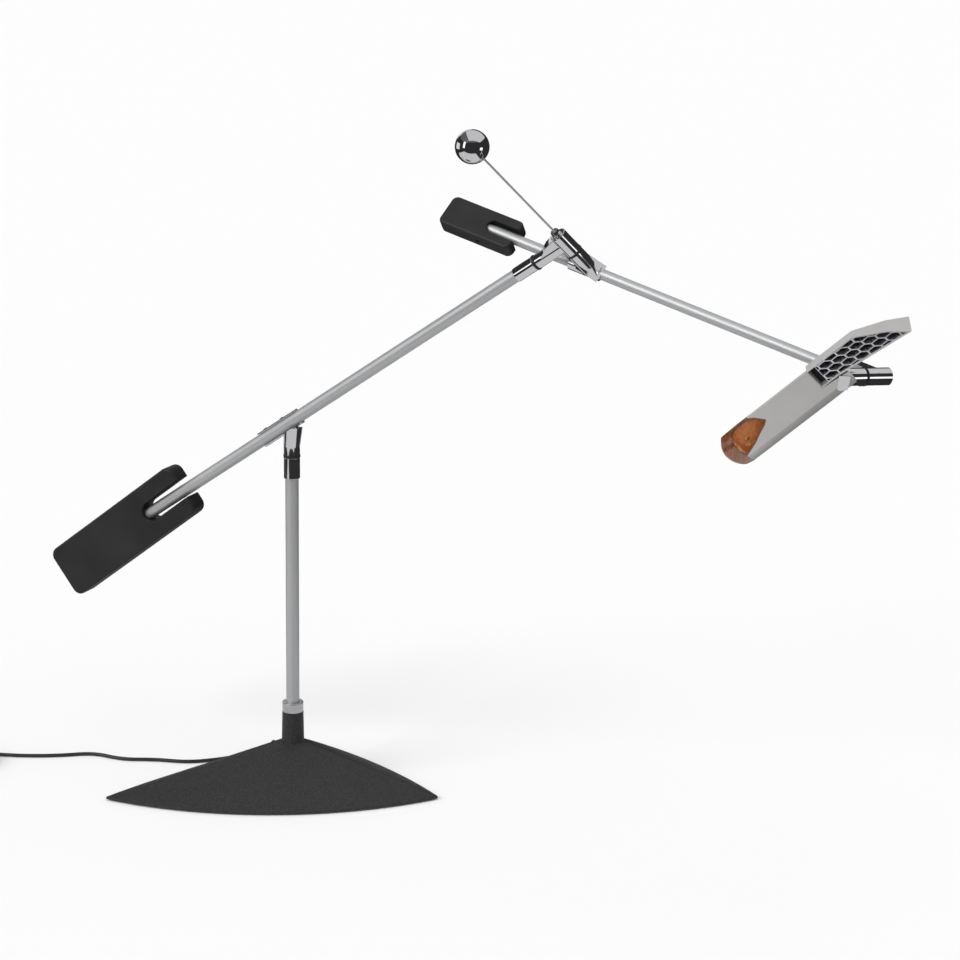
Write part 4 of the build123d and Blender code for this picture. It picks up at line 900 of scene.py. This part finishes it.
def glow(name, level):
    """A surface that shines evenly at a level, where 1 is white."""
    material = bpy.data.materials.new(name)
    material.use_nodes = True
    tree = material.node_tree
    tree.nodes.clear()
    emission = tree.nodes.new("ShaderNodeEmission")
    emission.inputs["Color"].default_value = (level, level, level * COOL, 1)
    output = tree.nodes.new("ShaderNodeOutputMaterial")
    tree.links.new(emission.outputs["Emission"], output.inputs["Surface"])
    return material


def card(name, mesh, level):
    """A surface of the studio that shines and that only reflections see."""
    thing = stage_surface(name, mesh, glow(name, level))
    thing.visible_camera = False
    thing.visible_diffuse = False
    thing.visible_shadow = False
    thing.visible_transmission = False
    thing.visible_volume_scatter = False
    print("card", name, "at level", level)


# %% The dark walls
DARK = 0.03
ROOM_MIDDLE = Vector((0.1, 0, 0))
ROOM_RADIUS = 3.1
ROOM_HEIGHT = 2.6
WALL_STEPS = 64

walls = bmesh.new()
wall_foot = ROOM_MIDDLE + Vector((ROOM_RADIUS, 0, 0))
wall_line = [walls.verts.new(wall_foot), walls.verts.new(wall_foot + UP * ROOM_HEIGHT)]
bmesh.ops.spin(walls, geom=wall_line + [walls.edges.new(wall_line)], cent=ROOM_MIDDLE, axis=UP,
               angle=2 * pi, steps=WALL_STEPS, use_merge=True)
card("dark_walls", walls, DARK)


# %% Shapes of the other cards
LAMP_UPPER_HALF = Vector((0.2, -0.1, 0.55))


def panel(name, corners, level):
    """A flat card between corners, in metres."""
    mesh = bmesh.new()
    mesh.faces.new([mesh.verts.new(corner) for corner in corners])
    card(name, mesh, level)


def lying(name, left, right, front, back, height, level):
    """A level card between its edges."""
    panel(name, [(left, front, height), (right, front, height), (right, back, height),
                 (left, back, height)], level)


def standing(name, left, right, low, high, level):
    """An upright card between two places on the floor plan and two heights."""
    panel(name, [(*left, low), (*right, low), (*right, high), (*left, high)], level)


def soft_box(name, towards, far, width, height, level):
    """A card at some distance from the lamp's upper half, square to it."""
    direction = Vector(towards).normalized()
    side = direction.cross(UP).normalized()
    rise = side.cross(direction)
    middle = LAMP_UPPER_HALF + direction * far
    panel(name, [middle + side * (width * x / 2) + rise * (height * y / 2)
                 for x, y in ((-1, -1), (1, -1), (1, 1), (-1, 1))], level)


# %% Cards under and over the lamp
WHOLE_ROOM = dict(left=-3.2, right=3.4, front=-3.2, back=3.2)
OVER_FLOOR = 0.0002
OVER_DARK_FLOOR = 0.0004

lying("dark_floor", **WHOLE_ROOM, height=OVER_FLOOR, level=DARK)
lying("pale_table", left=-1.1, right=0.60, front=-0.95, back=0.33, height=OVER_DARK_FLOOR, level=0.62)
lying("far_card", left=0.20, right=0.62, front=0.52, back=1.0, height=OVER_DARK_FLOOR, level=0.45)
lying("ceiling", **WHOLE_ROOM, height=ROOM_HEIGHT, level=0.12)
lying("overhead", left=-0.6, right=2.6, front=-1.6, back=2.2, height=2.2, level=0.62)

# %% Cards round the lamp
soft_box("left_box", towards=(-0.78, -0.53, 0.27), far=2.4, width=0.6, height=1.5, level=1.4)
soft_box("right_box", towards=(0.87, -0.46, -0.14), far=2.3, width=0.8, height=0.8, level=1.4)
standing("left_wall", left=(-2.4, -0.1), right=(-2.4, 2.1), low=0.1, high=1.25, level=0.8)
standing("back_wall", left=(-1.6, 2.6), right=(0.1, 2.9), low=1.1, high=2.2, level=0.75)

# %% [markdown]
# ## The sky
#
# An even sky lights the lamp from all sides. The camera, the metal and the amber tip see it as pure
# white, which is how the background comes out white without more light on the lamp: the level that
# lights the surfaces is lower.

# %% World
SKY_LIGHT = 0.66
WHITE = (1, 1, 1, 1)

world = bpy.data.worlds.new("studio")
scene.world = world
world.use_nodes = True
sky = world.node_tree
rays = sky.nodes.new("ShaderNodeLightPath")
sky_color = None
for ray in ("Is Transmission Ray", "Is Glossy Ray", "Is Camera Ray"):
    mix = sky.nodes.new("ShaderNodeMix")
    mix.data_type = "RGBA"
    mix.inputs["B"].default_value = WHITE
    if sky_color:
        sky.links.new(sky_color, mix.inputs["A"])
    else:
        mix.inputs["A"].default_value = (SKY_LIGHT, SKY_LIGHT, SKY_LIGHT, 1)
    sky.links.new(rays.outputs[ray], mix.inputs["Factor"])
    sky_color = mix.outputs["Result"]
sky.links.new(sky_color, sky.nodes["Background"].inputs["Color"])
print("sky lights at", SKY_LIGHT)


# %% [markdown]
# ## The suns
#
# Two broad suns give the sky a direction. The key comes from the left, the front and above, and its
# width of 30 degrees makes the shadow soft. The weaker fill comes from nearly overhead.

# %% Sun lamps
def sun(name, towards, strength, width):
    """A broad, even light that shines along a direction; its width is in degrees."""
    light = bpy.data.lights.new(name, "SUN")
    light.energy = strength
    light.angle = radians(width)
    thing = bpy.data.objects.new(name, light)
    thing.rotation_mode = "QUATERNION"
    thing.rotation_quaternion = Vector(towards).to_track_quat("-Z", "Y")
    scene.collection.objects.link(thing)
    print("sun", name, "of strength", strength)


sun("key", towards=(0.70, 0.50, -0.60), strength=1.7, width=30)
sun("fill", towards=(-0.2, 0.3, -0.9), strength=0.6, width=60)
